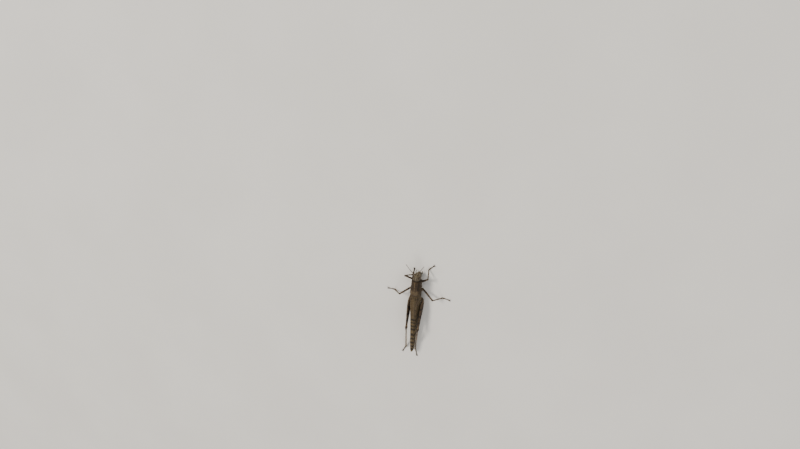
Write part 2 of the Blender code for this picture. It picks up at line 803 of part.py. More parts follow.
def centre_on_floor(whole):
    """Moves the animal so that the middle of its footprint is at x = y = 0."""
    bpy.context.view_layer.update()
    graph = bpy.context.evaluated_depsgraph_get()
    corners = []
    for obj in whole.children:
        if not obj.hide_render:
            corners += [Vector(corner) for corner in obj.evaluated_get(graph).bound_box]
    points = np.array(corners)
    middle = (points.min(axis=0) + points.max(axis=0)) / 2
    whole.location = (-middle[0], -middle[1], 0.0)


def main():
    clear_scene()
    whole = bpy.data.objects.new("locust", None)
    bpy.context.scene.collection.objects.link(whole)
    clearances = build_trunk(whole)
    build_wings(whole)
    build_head_fittings(whole, clearances)
    build_tail_feelers(whole, clearances)
    for pair in FEMUR_LENGTH:
        for word in SIDES:
            build_leg(pair, word, whole, clearances)
    centre_on_floor(whole)


main()
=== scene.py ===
"""A life-size museum model of an Egyptian locust: fine shells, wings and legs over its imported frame.

The animal faces -Y and its left side is +X. Shapes are worked out in millimetres in the maker's
own frame, where the face is at y = -29.4, and `Shape.make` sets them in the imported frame.
"""

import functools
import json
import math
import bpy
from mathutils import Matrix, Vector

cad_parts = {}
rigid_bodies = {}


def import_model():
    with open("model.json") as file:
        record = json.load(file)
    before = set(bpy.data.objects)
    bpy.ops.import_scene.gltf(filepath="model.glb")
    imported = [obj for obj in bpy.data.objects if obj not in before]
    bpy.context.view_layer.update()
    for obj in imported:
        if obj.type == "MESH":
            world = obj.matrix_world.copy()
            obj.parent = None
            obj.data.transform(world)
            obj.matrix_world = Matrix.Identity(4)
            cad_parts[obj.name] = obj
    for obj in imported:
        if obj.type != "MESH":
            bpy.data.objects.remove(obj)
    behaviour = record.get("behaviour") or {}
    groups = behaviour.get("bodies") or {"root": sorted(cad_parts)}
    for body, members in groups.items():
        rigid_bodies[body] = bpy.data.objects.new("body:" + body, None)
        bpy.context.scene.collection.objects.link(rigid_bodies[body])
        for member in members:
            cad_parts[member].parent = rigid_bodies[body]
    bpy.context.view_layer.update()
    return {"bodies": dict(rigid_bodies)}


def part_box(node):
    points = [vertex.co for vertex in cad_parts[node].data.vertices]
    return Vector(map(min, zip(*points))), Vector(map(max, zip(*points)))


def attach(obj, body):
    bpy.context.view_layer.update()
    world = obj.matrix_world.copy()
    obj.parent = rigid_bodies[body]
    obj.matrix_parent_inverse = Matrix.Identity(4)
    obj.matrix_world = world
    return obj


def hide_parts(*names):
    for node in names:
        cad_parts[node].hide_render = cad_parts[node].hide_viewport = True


bl_info = {
    "name": "Egyptian Locust",
    "version": (1, 0, 0),
    "blender": (4, 5, 0),
    "location": "View3D > Sidebar > Locust",
    "description": "Builds a life-size adult locust, standing with its wings folded, on a pale floor",
    "category": "Object",
}

import bpy
import numpy as np
from bpy.props import FloatProperty, FloatVectorProperty, IntProperty, PointerProperty
from mathutils import Matrix, Vector

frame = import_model()

BODY = next(iter(frame["bodies"]))
MM = 0.001
SIDES = {"left": 1, "right": -1}
TAU = 2 * math.pi

# Body, measured in millimetres along the animal from the face backwards.
FACE_Y = -29.4
HEAD_HEIGHT = 7.7
HEAD_WIDTH = 5
HEAD_DEPTH = 4
MOUTH_HEIGHT = 1.7
EYE_SIZE = (1.5, 2.1, 3.2)
EYE_CENTRE = (2.08, -27.9, 7.3)
SOCKET = (0.8, 6.9)  # across and up, where a feeler leaves the face
PRONOTUM_FRONT = -25.3
PRONOTUM_LENGTH = 10.5
PRONOTUM_CREST = 10.4
PRONOTUM_WIDTH = 7.1
LOBE_BOTTOM = 3.2
THORAX_END = -8
THORAX_HEIGHT = 8.1
STERNUM_HEIGHT = 2
ABDOMEN_END = 18.5
ABDOMEN_SEGMENTS = 8

# Folded wings.
WING_BASE = -14.35
WING_TIP = 32.6
WING_RIDGE = 9.75
WING_OVERLAP = 0.85
HINDWING_BASE = 3
HINDWING_TIP = 30.6

FEELER_ROUTES = {
    "left": ((0.8, -29.1, 6.9), (1.6, -30.4, 8), (3.2, -33, 9.6), (5.7, -38.5, 12.2)),
    "right": ((-0.8, -29.1, 6.9), (-1.1, -30.6, 7.8), (-2.2, -33.4, 8.9), (-5.3, -39.4, 11.4)),
}

# Legs: lengths of the joints of each pair, where they start, and how the animal stands.
FEMUR_LENGTH = {"fore": 7.2, "mid": 9.6, "hind": 22.6}
TIBIA_LENGTH = {"fore": 6.3, "mid": 7.2, "hind": 21.3}
TARSUS_LENGTH = {"fore": 4.6, "mid": 5, "hind": 5.2}
HIP = {"fore": (2.7, -22.6, 2.5), "mid": (3.6, -17, 2.4), "hind": (4.25, -9.6, 3.5)}
COXA_ROOT = {"fore": (1.7, -22.9, 3), "mid": (2.3, -16.7, 3.3), "hind": (2.3, -10.2, 3.2)}
COXA_RADIUS = {"fore": 0.85, "mid": 0.95, "hind": 1.1}
FEMUR_RADIUS = {"fore": 0.66, "mid": 0.68}
TIBIA_RADIUS = {"fore": 0.37, "mid": 0.38, "hind": 0.46}
ANKLE_HEIGHT = 0.85
HIND_FEMUR_DEPTH = 4.7
HIND_FEMUR_BREADTH = 2
STANCE = {
    ("fore", "left"): {"femur": 58, "knee": 5.8, "tibia": -110, "tarsus": -8},
    ("fore", "right"): {"femur": 42, "knee": 5.8, "tibia": -20, "tarsus": 42},
    ("mid", "left"): {"femur": 128, "knee": 6.1, "tibia": 111, "tarsus": 92},
    ("mid", "right"): {"femur": 116, "knee": 6.6, "tibia": 99, "tarsus": 95},
    ("hind", "left"): {"femur": 180.9, "knee": 7.9, "tibia": 176.5, "tarsus": 155},
    ("hind", "right"): {"femur": 181.9, "knee": 6.9, "tibia": 186.2, "tarsus": 165},
}

# From the maker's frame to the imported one: the solids are centred over their own footprint.
SHIFT = np.array(
    [
        (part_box("pronotum")[0].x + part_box("pronotum")[1].x) / 2,
        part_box("tegmen_left")[1].y - WING_TIP * MM,
        0,
    ]
)


# ---- numbers

def lerp(a, b, t):
    """From `a` at 0 to `b` at 1."""
    return a + (b - a) * t


def smooth(value, low, high):
    """0 below `low`, 1 above `high` and a soft step between them."""
    t = np.clip((np.asarray(value, float) - low) / (high - low), 0, 1)
    return t * t * (3 - 2 * t)


def window(value, low, high, soft):
    """1 between `low` and `high`, with soft ends."""
    return smooth(value, low - soft, low + soft) * (1 - smooth(value, high - soft, high + soft))


def bell(value, centre, width):
    """1 at the centre, falling away over about this width on each side."""
    return np.exp(-(((np.asarray(value, float) - centre) / width) ** 2))


def spow(value, exponent):
    """A power that keeps the sign."""
    return np.sign(value) * np.abs(value) ** exponent


def strongest(*marks):
    """The strongest of several marks at each point."""
    return functools.reduce(np.maximum, marks)


def triple(first, second, third):
    """Three layers of numbers side by side, each spread over all points."""
    return np.stack(np.broadcast_arrays(first, second, third), -1)


def travelled(points):
    """Distance along a line of points, at each of them."""
    steps = np.linalg.norm(np.diff(np.asarray(points, float), axis=0), axis=1)
    return np.concatenate([[0], np.cumsum(steps)])


def flowing(stations, at):
    """Columns of a table of stations, read without corners or overshoot at values of its first."""
    table = np.asarray(stations, float)
    knots = table[:, 0]
    at = np.clip(np.asarray(at, float), knots[0], knots[-1])
    gaps = np.diff(knots)
    k = np.clip(np.searchsorted(knots, at, side="right") - 1, 0, len(gaps) - 1)
    t = (at - knots[k]) / gaps[k]
    columns = []
    for values in table.T[1:]:
        rise = np.diff(values) / gaps
        slope = np.concatenate([[rise[0]], np.zeros(len(rise) - 1), [rise[-1]]])
        steady = rise[:-1] * rise[1:] > 0
        both = rise[:-1] + rise[1:]
        slope[1:-1][steady] = (2 * rise[:-1] * rise[1:] / np.where(both == 0, 1, both))[steady]
        leaving, arriving = slope[k] * gaps[k], slope[k + 1] * gaps[k]
        columns.append(
            (2 * t**3 - 3 * t**2 + 1) * values[k]
            + (t**3 - 2 * t**2 + t) * leaving
            + (3 * t**2 - 2 * t**3) * values[k + 1]
            + (t**3 - t**2) * arriving
        )
    return columns


def bend_through(count_in, count_out):
    """Weights that turn `count_in` guide points into `count_out` on a smooth curve through them."""
    guides = np.eye(count_in)
    padded = np.vstack([2 * guides[0] - guides[1], guides, 2 * guides[-1] - guides[-2]])
    u = np.linspace(0, count_in - 1, count_out)
    k = np.minimum(u.astype(int), count_in - 2)
    t = (u - k)[:, None]
    a, b, c, d = (padded[k + i] for i in range(4))
    bend = 2 * a - 5 * b + 4 * c - d
    return 0.5 * (2 * b + (c - a) * t + bend * t**2 + (3 * b - 3 * c + d - a) * t**3)


def curve_through(points, count):
    """This many points on a smooth curve through the given ones."""
    return bend_through(len(points), count) @ np.asarray(points, float)


OUTLINE_STEPS = 4001  # how finely an outline is measured before its points are spaced out


def even_turns(fullness, count, start=0, stop=TAU, closed=True, aspect=1):
    """Angles that space points evenly round a rounded outline, `aspect` times as tall as wide."""
    fine = np.linspace(start, stop, OUTLINE_STEPS)
    outline = np.stack([spow(np.cos(fine), 2 / fullness), aspect * spow(np.sin(fine), 2 / fullness)], 1)
    run = travelled(outline)
    places = np.linspace(0, run[-1], count + closed)[:count]
    return np.interp(places, run, fine)


def full_turn(count):
    """Angles of this many points, evenly round a circle."""
    return np.linspace(0, TAU, count, endpoint=False)


RIPPLE_WAVES = 7
RIPPLE_RANGE = 4.5  # their sum seldom passes this


def ripple(points, size, seed):
    """Smooth random swells about `size` millimetres long, mostly from -1 to 1."""
    chance = np.random.default_rng(seed)
    total = np.zeros(points.shape[:-1])
    for _ in range(RIPPLE_WAVES):
        way = chance.normal(size=3)
        way *= TAU / size / np.linalg.norm(way) * chance.uniform(0.6, 1.4)
        total += np.sin(points @ way + chance.uniform(0, TAU))
    return total / RIPPLE_RANGE


# ---- surfaces


def normals_of(grid, closed=True):
    """Outward unit normals of a grid of points whose columns go round it."""
    along = np.gradient(grid, axis=0)
    if closed:
        around = np.roll(grid, -1, axis=1) - np.roll(grid, 1, axis=1)
    else:
        around = np.gradient(grid, axis=1)
    normal = np.cross(along, around)
    normal /= np.maximum(np.linalg.norm(normal, axis=2, keepdims=True), 1e-12)
    outward = (normal * (grid - grid.mean(axis=1, keepdims=True))).sum()
    return normal if outward > 0 else -normal


def swell(grid, amount, closed=True):
    """The grid raised by this many millimetres along its normals."""
    return grid + normals_of(grid, closed) * np.asarray(amount)[..., None]


def trunk_grid(ys, half, top, bottom, widest, fullness, turns, lean=0, sweep=0):
    """Cross-sections rounded above and below their widest height, one for each y. Each reaches
    back by `lean` for a millimetre of height and by `sweep` for one towards the middle."""
    sizes = np.broadcast_arrays(half, top, bottom, widest, lean, sweep, ys)
    half, top, bottom, widest, lean, sweep, ys = (size[:, None] for size in sizes)
    x = half * spow(np.cos(turns), 2 / fullness)
    rise = spow(np.sin(turns), 2 / fullness)
    z = widest + rise * np.where(rise > 0, top - widest, widest - bottom)
    return triple(x, ys + lean * (z - top) - sweep * np.abs(x), z)


def limb_grid(route, breadth, depth, columns, up=(0, 0, 1), fullness=2):
    """Rings across a route, each with its own half breadth and half depth."""
    ahead = np.gradient(route, axis=0)
    ahead /= np.linalg.norm(ahead, axis=1, keepdims=True)
    across = np.cross(ahead, np.asarray(up, float))
    across /= np.linalg.norm(across, axis=1, keepdims=True)
    lift = np.cross(across, ahead)
    turns = full_turn(columns)
    wide = breadth[:, None] * spow(np.cos(turns), 2 / fullness)
    tall = depth[:, None] * spow(np.sin(turns), 2 / fullness)
    return route[:, None] + across[:, None] * wide[..., None] + lift[:, None] * tall[..., None]


POLE = 0.05  # how far from a rounded body's poles its first and last rings lie, as an angle


def blob(centre, radii, rows=20, columns=28, fullness=2):
    """A rounded body, its rings stacked upwards."""
    polar = np.linspace(POLE, math.pi - POLE, rows)[:, None]
    turns = full_turn(columns)
    ring = spow(np.sin(polar), 2 / fullness)
    grid = triple(ring * np.cos(turns), ring * np.sin(turns), -np.cos(polar))
    return grid * radii + np.asarray(centre)


# ---- pieces

def packed(points):
    """Points from the maker's frame, in millimetres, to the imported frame, in metres."""
    return np.asarray(points, float) * MM + SHIFT


def dress(obj, nodes):
    """Ties a finished piece to the body and lets it stand for these CAD nodes."""
    bpy.context.scene.collection.objects.link(obj)
    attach(obj, BODY)
    if nodes:
        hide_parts(*nodes)
    return obj


def write_vectors(mesh, name, values):
    """Keeps a vector for each point of a mesh."""
    layer = mesh.attributes.new(name, "FLOAT_VECTOR", "POINT")
    layer.data.foreach_set("vector", np.ascontiguousarray(values, np.float32).ravel())


def read_vectors(data, name, count):
    """One vector for each of this many points, from a mesh's own points or from a layer."""
    values = np.empty(count * 3, np.float32)
    data.foreach_get(name, values)
    return values.reshape(-1, 3)


def line_mesh(name, points, links=()):
    """A guide mesh of loose points, from the maker's frame, and the lines between them."""
    mesh = bpy.data.meshes.new(name)
    mesh.from_pydata(packed(points).tolist(), list(links), [])
    return mesh


def steps_between(first, count):
    """Links from each point of a run of points to the next."""
    return [(first + i, first + i + 1) for i in range(count - 1)]


class Shape:
    """Closed surfaces gathered into one piece, with what its finishes read at each point: `lie`,
    its place along and round the surface, `stain`, how dark and pale it is and how deep, which
    the finishes paint as shade in its grooves and hollows, and `flow`, the way that hairs lie."""

    def __init__(self):
        self.layers = {"points": [], "lie": [], "stain": [], "flow": []}
        self.faces = []
        self.slots = []
        self.count = 0

    def add(self, grid, stain=(0, 0, 0), sheet=False, slot=0):
        """Takes in a grid whose columns go round a surface. Each of its two ends is closed on a
        middle point or, where the grid is both faces of a sheet, by a strip along its edge."""
        rows, columns = grid.shape[:2]
        index = np.arange(rows * columns).reshape(rows, columns) + self.count
        ahead = np.roll(index, -1, axis=1)
        faces = np.stack([index[:-1], ahead[:-1], ahead[1:], index[1:]], -1).reshape(-1, 4).tolist()
        along, around = np.linspace(0, 1, rows)[:, None], np.arange(columns) / columns
        flow = np.gradient(grid, axis=0)
        flow /= np.maximum(np.linalg.norm(flow, axis=2, keepdims=True), 1e-9)
        values = (grid, triple(along, around, float(slot)), np.broadcast_to(stain, grid.shape), flow)
        layers = [layer.reshape(-1, 3) for layer in values]
        for row in (0, rows - 1):
            line = index[row].tolist()
            if sheet:
                caps = [[line[i + 1], line[i], line[-1 - i], line[-2 - i]] for i in range(columns // 2 - 1)]
            else:
                middle = self.count + len(layers[0])
                ring = slice(row * columns, (row + 1) * columns)
                layers = [np.vstack([layer, layer[ring].mean(axis=0)]) for layer in layers]
                caps = [[line[(i + 1) % columns], line[i], middle] for i in range(columns)]
            faces += caps if row == 0 else [cap[::-1] for cap in caps]
        faces = facing_out(layers[0], faces, self.count)
        self.faces += faces
        self.slots += [slot] * len(faces)
        self.count += len(layers[0])
        for gathered, layer in zip(self.layers.values(), layers):
            gathered.append(layer)
        return self

    def add_sheet(self, outer, thickness, stain=(0, 0, 0)):
        """Takes in a thin sheet, from its outer face: columns run out along that face and back
        along its copy, set inwards by the thickness."""
        inner = outer - normals_of(outer, closed=False) * np.asarray(thickness)[..., None]
        stain = np.broadcast_to(stain, outer.shape)
        grid = np.concatenate([outer, inner[:, ::-1]], axis=1)
        return self.add(grid, np.concatenate([stain, stain[:, ::-1]], axis=1), sheet=True)

    def make(self, name, finishes, slot, nodes=()):
        """Makes the piece's mesh and object, its finishes named in the order of their slots."""
        layers = {layer: np.vstack(values) for layer, values in self.layers.items()}
        mesh = bpy.data.meshes.new(name)
        mesh.from_pydata(packed(layers.pop("points")).tolist(), [], self.faces)
        for finish in finishes:
            mesh.materials.append(coat(finish))
        mesh.polygons.foreach_set("material_index", self.slots)
        for layer, values in layers.items():
            write_vectors(mesh, layer, values)
        mesh.shade_smooth()
        mesh.validate()
        return dress(bpy.data.objects.new(name, mesh), nodes)


def facing_out(points, faces, first):
    """These faces of a closed surface, all turned round if they enclose a negative volume."""
    corners = np.array([(f[0], f[i], f[i + 1]) for f in faces for i in range(1, len(f) - 1)]) - first
    a, b, c = (points[corners[:, k]] for k in range(3))
    volume = np.einsum("ij,ij->", a, np.cross(b, c))
    return [face[::-1] for face in faces] if volume < 0 else faces


# ---- node trees

class Nodes:
    """A node tree, and the one method that places nodes in it."""

    def __init__(self, tree):
        self.tree = tree

    def node(self, kind, settings=None, output=0, **inputs):
        """Places a node of this kind: its settings first, then its inputs. Gives one output."""
        node = self.tree.nodes.new(kind)
        for key, value in (settings or {}).items():
            setattr(node, key, value)
        self.feed(node, inputs)
        return Wire(self, node.outputs[output])

    def feed(self, node, values):
        """Sets or links inputs of a node, each found by its identifier or by its name, in which
        an underline stands for a space."""
        for key, value in values.items():
            names = ((socket, (socket.identifier, socket.name.replace(" ", "_"))) for socket in node.inputs)
            socket = next(socket for socket, known in names if key in known)
            if isinstance(value, Wire):
                self.tree.links.new(value.socket, socket)
            else:
                socket.default_value = (*value, 1) if socket.type == "RGBA" else value


class Wire:
    """One output in a node tree. Arithmetic on it adds Math nodes to that tree."""

    def __init__(self, nodes, socket):
        self.nodes = nodes
        self.socket = socket

    def math(self, operation, *others):
        inputs = dict(zip(("Value", "Value_001"), (self, *others)))
        return self.nodes.node("ShaderNodeMath", {"operation": operation}, **inputs)

    def __rsub__(self, other):
        return self.nodes.node("ShaderNodeMath", {"operation": "SUBTRACT"}, Value=other, Value_001=self)

    __add__ = __radd__ = functools.partialmethod(math, "ADD")
    __sub__ = functools.partialmethod(math, "SUBTRACT")
    __mul__ = __rmul__ = functools.partialmethod(math, "MULTIPLY")
    __truediv__ = functools.partialmethod(math, "DIVIDE")
    __pow__ = functools.partialmethod(math, "POWER")
    sine = functools.partialmethod(math, "SINE")
    size = functools.partialmethod(math, "ABSOLUTE")
    most = functools.partialmethod(math, "MAXIMUM")

    def step(self, low, high):
        """0 below `low`, 1 above `high` and a soft step between them."""
        settings = {"interpolation_type": "SMOOTHSTEP"}
        return self.nodes.node("ShaderNodeMapRange", settings, Value=self, From_Min=low, From_Max=high)

    def part(self, axis):
        """One number of a vector."""
        return self.nodes.node("ShaderNodeSeparateXYZ", output="XYZ".index(axis), Vector=self)


class Finish(Nodes):
    """A material under construction. Lengths in its patterns are in millimetres."""

    def __init__(self, name):
        self.material = bpy.data.materials.new(name)
        self.material.use_nodes = True
        super().__init__(self.material.node_tree)
        self.shader = self.tree.nodes["Principled BSDF"]
        spot = self.node("ShaderNodeTexCoord", output=3)
        self.spot = self.node("ShaderNodeVectorMath", {"operation": "SCALE"}, Vector=spot, Scale=1 / MM)
        self.lie = self.layer("lie")
        self.stain = self.layer("stain")

    def layer(self, name):
        """A vector that the piece keeps at each point."""
        return self.node("ShaderNodeAttribute", {"attribute_name": name}, output=1)

    def noise(self, scale, detail=3, roughness=0.55, stretch=None):
        """Clouds, this many to a millimetre, squeezed along each axis by the shares in `stretch`."""
        spot = self.spot
        if stretch:
            multiply = {"operation": "MULTIPLY"}
            spot = self.node("ShaderNodeVectorMath", multiply, Vector=spot, Vector_001=stretch)
        return self.node("ShaderNodeTexNoise", Vector=spot, Scale=scale, Detail=detail, Roughness=roughness)

    def cells(self, scale):
        """How far each point is from the middle of its cell, with this many cells to a millimetre."""
        return self.node("ShaderNodeTexVoronoi", {"feature": "F1"}, Vector=self.spot, Scale=scale)

    def blend(self, share, first, second):
        """From the first colour to the second."""
        inputs = {"Factor_Float": share, "A_Color": first, "B_Color": second}
        return self.node("ShaderNodeMix", {"data_type": "RGBA"}, output=2, **inputs)

    def marked(self, base, pale, dark, ragged=0.62, grain=2.6):
        """Lays a piece's own pale and dark marks over a colour, with soft, ragged edges."""
        edge = (self.noise(grain, 4, 0.65) - 0.5) * ragged * 2
        colour = self.blend((self.stain.part("Y") + edge).step(0.3, 0.72), base, pale)
        return self.blend((self.stain.part("X") + edge * 0.8).step(0.28, 0.78), colour, dark)

    def done(self, colour, roughness, height=None, depth=0.04, **fixed):
        """Links what varies to the shader, sets what doesn't on its own sockets, and returns the
        material. `depth` is how far the relief stands up, in millimetres."""
        values = {"Base_Color": colour, "Roughness": roughness, **fixed}
        if height is not None:
            values["Normal"] = self.node("ShaderNodeBump", Height=height, Distance=depth * MM)
        self.feed(self.shader, values)
        return self.material


class Growth(Nodes):
    """A Geometry Nodes tree under construction, which grows something on a guide mesh. It has
    named inputs, with these defaults, for its sizes, and one for its material."""

    def __init__(self, name, **inputs):
        super().__init__(bpy.data.node_groups.new(name, "GeometryNodeTree"))
        sockets = self.tree.interface
        for way in ("INPUT", "OUTPUT"):
            sockets.new_socket("Geometry", in_out=way, socket_type="NodeSocketGeometry")
        for label, default in inputs.items():
            kind = "NodeSocketInt" if isinstance(default, int) else "NodeSocketFloat"
            socket = sockets.new_socket(label.replace("_", " "), in_out="INPUT", socket_type=kind)
            socket.default_value = default
        sockets.new_socket("Material", in_out="INPUT", socket_type="NodeSocketMaterial")
        entry = self.tree.nodes.new("NodeGroupInput")
        self.given = {socket.name: Wire(self, socket) for socket in entry.outputs if socket.name}

    def vector(self, x=0, y=0, z=0):
        """A vector of these three numbers."""
        return self.node("ShaderNodeCombineXYZ", X=x, Y=y, Z=z)

    def read(self, name, kind="FLOAT_VECTOR"):
        """What the guide keeps under this name."""
        return self.node("GeometryNodeInputNamedAttribute", {"data_type": kind}, Name=name)

    def store(self, shape, name, value):
        """A shape with a vector kept at each point, under this name."""
        settings = {"data_type": "FLOAT_VECTOR", "domain": "POINT"}
        return self.node("GeometryNodeStoreNamedAttribute", settings, Geometry=shape, Name=name, Value=value)

    def scatter(self, points, shape, aim, size):
        """Copies of an upright shape on these points, each turned to its aim and scaled."""
        turn = self.node("FunctionNodeAlignRotationToVector", {"axis": "Z"}, Vector=aim)
        copies = {"Points": points, "Instance": shape, "Rotation": turn, "Scale": size}
        return self.node("GeometryNodeInstanceOnPoints", **copies)

    def done(self, shape):
        """Ends the tree in real faces, smooth and of the given material."""
        for kind in ("RealizeInstances", "SetShadeSmooth"):
            shape = self.node("GeometryNode" + kind, Geometry=shape)
        shape = self.node("GeometryNodeSetMaterial", Geometry=shape, Material=self.given["Material"])
        self.tree.links.new(shape.socket, self.tree.nodes.new("NodeGroupOutput").inputs[0])
        return self.tree


def grow(name, tree, guide, finish, slot, nodes=(), **values):
    """Runs a tree on a guide mesh, with these inputs, and keeps the result as a plain mesh."""
    guide_object = bpy.data.objects.new(name + "_guide", guide)
    bpy.context.scene.collection.objects.link(guide_object)
    modifier = guide_object.modifiers.new(tree.name, "NODES")
    modifier.node_group = tree
    sockets = {item.name: item.identifier for item in tree.interface.items_tree if item.in_out == "INPUT"}
    for label, value in {"Material": coat(finish), **values}.items():
        modifier[sockets[label.replace("_", " ")]] = value
    graph = bpy.context.evaluated_depsgraph_get()
    mesh = bpy.data.meshes.new_from_object(guide_object.evaluated_get(graph), depsgraph=graph)
    mesh.name = name
    bpy.data.objects.remove(guide_object)
    if not mesh.polygons:
        raise RuntimeError(name + " grew no faces")
    return dress(bpy.data.objects.new(name, mesh), nodes)


def feeler_tree():
    """Barrel-shaped joints threaded along a route, thinning towards its end."""
    tree = Growth("Jointed feeler", Joints=24, Radius=0.0002, Tip_Share=0.6)
    route = tree.node("GeometryNodeMeshToCurve", Mesh=tree.given["Geometry"])
    length = tree.node("GeometryNodeCurveLength", Curve=route)
    places = tree.node("GeometryNodeResampleCurve", Curve=route, Count=tree.given["Joints"])
    share = tree.node("GeometryNodeSplineParameter")
    radius = tree.given["Radius"] * (1 - share * (1 - tree.given["Tip Share"]))
    overlapping = length / tree.given["Joints"] * 1.12
    size = tree.vector(radius, radius, overlapping)
    barrel = tree.node("GeometryNodeMeshCylinder", Vertices=12, Side_Segments=6, Radius=1, Depth=1)
    spot = tree.node("GeometryNodeInputPosition")
    height = spot.part("Z")
    waist = 1.04 - (height * 2).size() ** 5 * 0.3
    rounded = tree.vector(spot.part("X") * waist, spot.part("Y") * waist, height)
    barrel = tree.node("GeometryNodeSetPosition", Geometry=barrel, Position=rounded)
    barrel = tree.store(barrel, "lie", tree.vector(height + 0.5))
    tangent = tree.node("GeometryNodeInputTangent")
    return tree.done(tree.scatter(places, barrel, tangent, size))


def thorn_tree():
    """A tapering thorn on each guide point, pointed along `aim` and sized by `size`."""
    tree = Growth("Thorns", Sides=7, Rings=4, Tip_Share=0.08, Bend=0.12)
    given = tree.given
    outline = {"Vertices": given["Sides"], "Side_Segments": given["Rings"], "Radius_Top": given["Tip Share"]}
    cone = tree.node("GeometryNodeMeshCone", **outline, Radius_Bottom=1, Depth=1)
    spot = tree.node("GeometryNodeInputPosition")
    height = spot.part("Z")
    cone = tree.store(cone, "strand", tree.vector(height, spot.part("X"), spot.part("Y")))
    lean = tree.vector(height * height * given["Bend"] * 6)
    cone = tree.node("GeometryNodeSetPosition", Geometry=cone, Offset=lean)
    return tree.done(tree.scatter(given["Geometry"], cone, tree.read("aim"), tree.read("size")))


def vein_tree():
    """Round ribs along each guide line, as thick as its `girth`."""
    tree = Growth("Raised veins", Sides=6)
    lines = tree.node("GeometryNodeMeshToCurve", Mesh=tree.given["Geometry"])
    profile = tree.node("GeometryNodeCurvePrimitiveCircle", Resolution=tree.given["Sides"], Radius=1)
    route = {"Curve": lines, "Profile_Curve": profile, "Scale": tree.read("girth", "FLOAT")}
    return tree.done(tree.node("GeometryNodeCurveToMesh", **route, Fill_Caps=True))


def bristle_tree():
    """Fine bristles scattered over skins, leaning the way that `flow` says."""
    tree = Growth("Fine bristles", Density=1.0e6, Length=0.0004, Radius=0.000015, Lean=0.9, Seed=7)
    given = tree.given
    spread = {"Mesh": given["Geometry"], "Density": given["Density"], "Seed": given["Seed"]}
    roots = tree.node("GeometryNodeDistributePointsOnFaces", {"distribute_method": "RANDOM"}, **spread)
    normal = Wire(tree, roots.socket.node.outputs["Normal"])
    lean = {"Vector": tree.read("flow"), "Scale": given["Lean"]}
    lean = tree.node("ShaderNodeVectorMath", {"operation": "SCALE"}, **lean)
    aim = tree.node("ShaderNodeVectorMath", {"operation": "ADD"}, Vector=normal, Vector_001=lean)
    roots = tree.store(roots, "aim", aim)
    range_of = {"Min_001": 0.5, "Max_001": 1, "Seed": given["Seed"]}
    chance = tree.node("FunctionNodeRandomValue", {"data_type": "FLOAT"}, output=1, **range_of)
    outline = {"Vertices": 3, "Side_Segments": 2, "Radius_Top": 0.1, "Radius_Bottom": 1, "Depth": 1}
    cone = tree.node("GeometryNodeMeshCone", {"fill_type": "NGON"}, **outline)
    cone = tree.store(cone, "strand", tree.node("GeometryNodeInputPosition"))
    size = tree.vector(given["Radius"], given["Radius"], given["Length"] * chance)
    return tree.done(tree.scatter(roots, cone, tree.read("aim"), size))


# ---- finishes

WAXY = {"Specular_IOR_Level": 0.2, "Coat_Weight": 0.04, "Coat_Roughness": 0.35}
WET = {"Specular_IOR_Level": 0.35, "Coat_Weight": 0.12, "Coat_Roughness": 0.12}
EYE_STRIPES = 6.5
PLEAT_VEINS = 44  # across a hindwing
CROSS_VEINS = 60  # along it


def shade(colour, share):
    """A colour this many times as bright."""
    return tuple(min(channel * share, 1) for channel in colour)


def shell_finish(name, pale, mid, dark, mark, pits=7, rough=0.58, relief=0.05):
    """Mottled, finely pitted insect shell, rougher in its grooves, which are darkened as painted shade."""
    finish = Finish(name)
    cloud = finish.noise(0.5, 4)
    fleck = finish.noise(3.4, 3, 0.7)
    speck = finish.noise(11, 2, 0.6)
    tone = cloud * 0.45 + fleck * 0.4 + speck * 0.15
    base = finish.blend(tone.step(0.42, 0.6), dark, mid)
    base = finish.blend(fleck.step(0.56, 0.72) * 0.55, base, pale)
    base = finish.blend(speck.step(0.6, 0.74) * 0.55, base, mark)
    # Painted shade: the deeper a groove, the nearer its colour comes to a darkened marking colour.
    groove = finish.stain.part("Z")
    colour = finish.blend(groove.step(0.25, 0.9) * 0.75, finish.marked(base, pale, mark), shade(mark, 0.7))
    pit = finish.cells(pits).step(0.08, 0.42)
    height = pit * 0.6 + fleck * 0.5 + speck * 0.25
    dusty = rough + (cloud - 0.5) * 0.25 + groove * 0.12
    return finish.done(colour, dusty, height, relief, **WAXY)


def eye_finish(name, pale, dark):
    """Glossy eye with upright stripes and a fine net of facets."""
    finish = Finish(name)
    waver = (finish.noise(1.6, 2) - 0.5) * 0.9
    stripe = (finish.stain.part("X") * (EYE_STRIPES * TAU) + waver).sine()
    fleck = finish.noise(9, 2)
    colour = finish.blend((stripe + (fleck - 0.5) * 0.8).step(-0.1, 0.75), dark, pale)
    colour = finish.blend(fleck.step(0.55, 0.75) * 0.4, colour, shade(dark, 0.6))
    # Painted shade round the rim where the eye meets the head.
    colour = finish.blend(finish.stain.part("Z") * 0.8, colour, shade(dark, 0.5))
    return finish.done(colour, 0.27 + fleck * 0.12, finish.cells(22), 0.006, **WET)


def glass_finish(name, colour):
    """A small clear amber lens."""
    finish = Finish(name)
    fleck = finish.noise(14, 2)
    tint = finish.blend(fleck.step(0.4, 0.6), colour, shade(colour, 0.55))
    return finish.done(tint, 0.08 + fleck * 0.08, Coat_Weight=0.8, Coat_Roughness=0.05)


def feeler_finish(name, pale, dark):
    """Horny joints, darker where each meets the next."""
    finish = Finish(name)
    joint = (finish.lie.part("X") - 0.5).size().step(0.3, 0.5)
    fleck = finish.noise(5, 3)
    colour = finish.blend(fleck.step(0.38, 0.62), dark, pale)
    colour = finish.blend(joint * 0.8, colour, shade(dark, 0.45))
    return finish.done(colour, 0.48 + fleck * 0.2, fleck, 0.02, **WAXY)


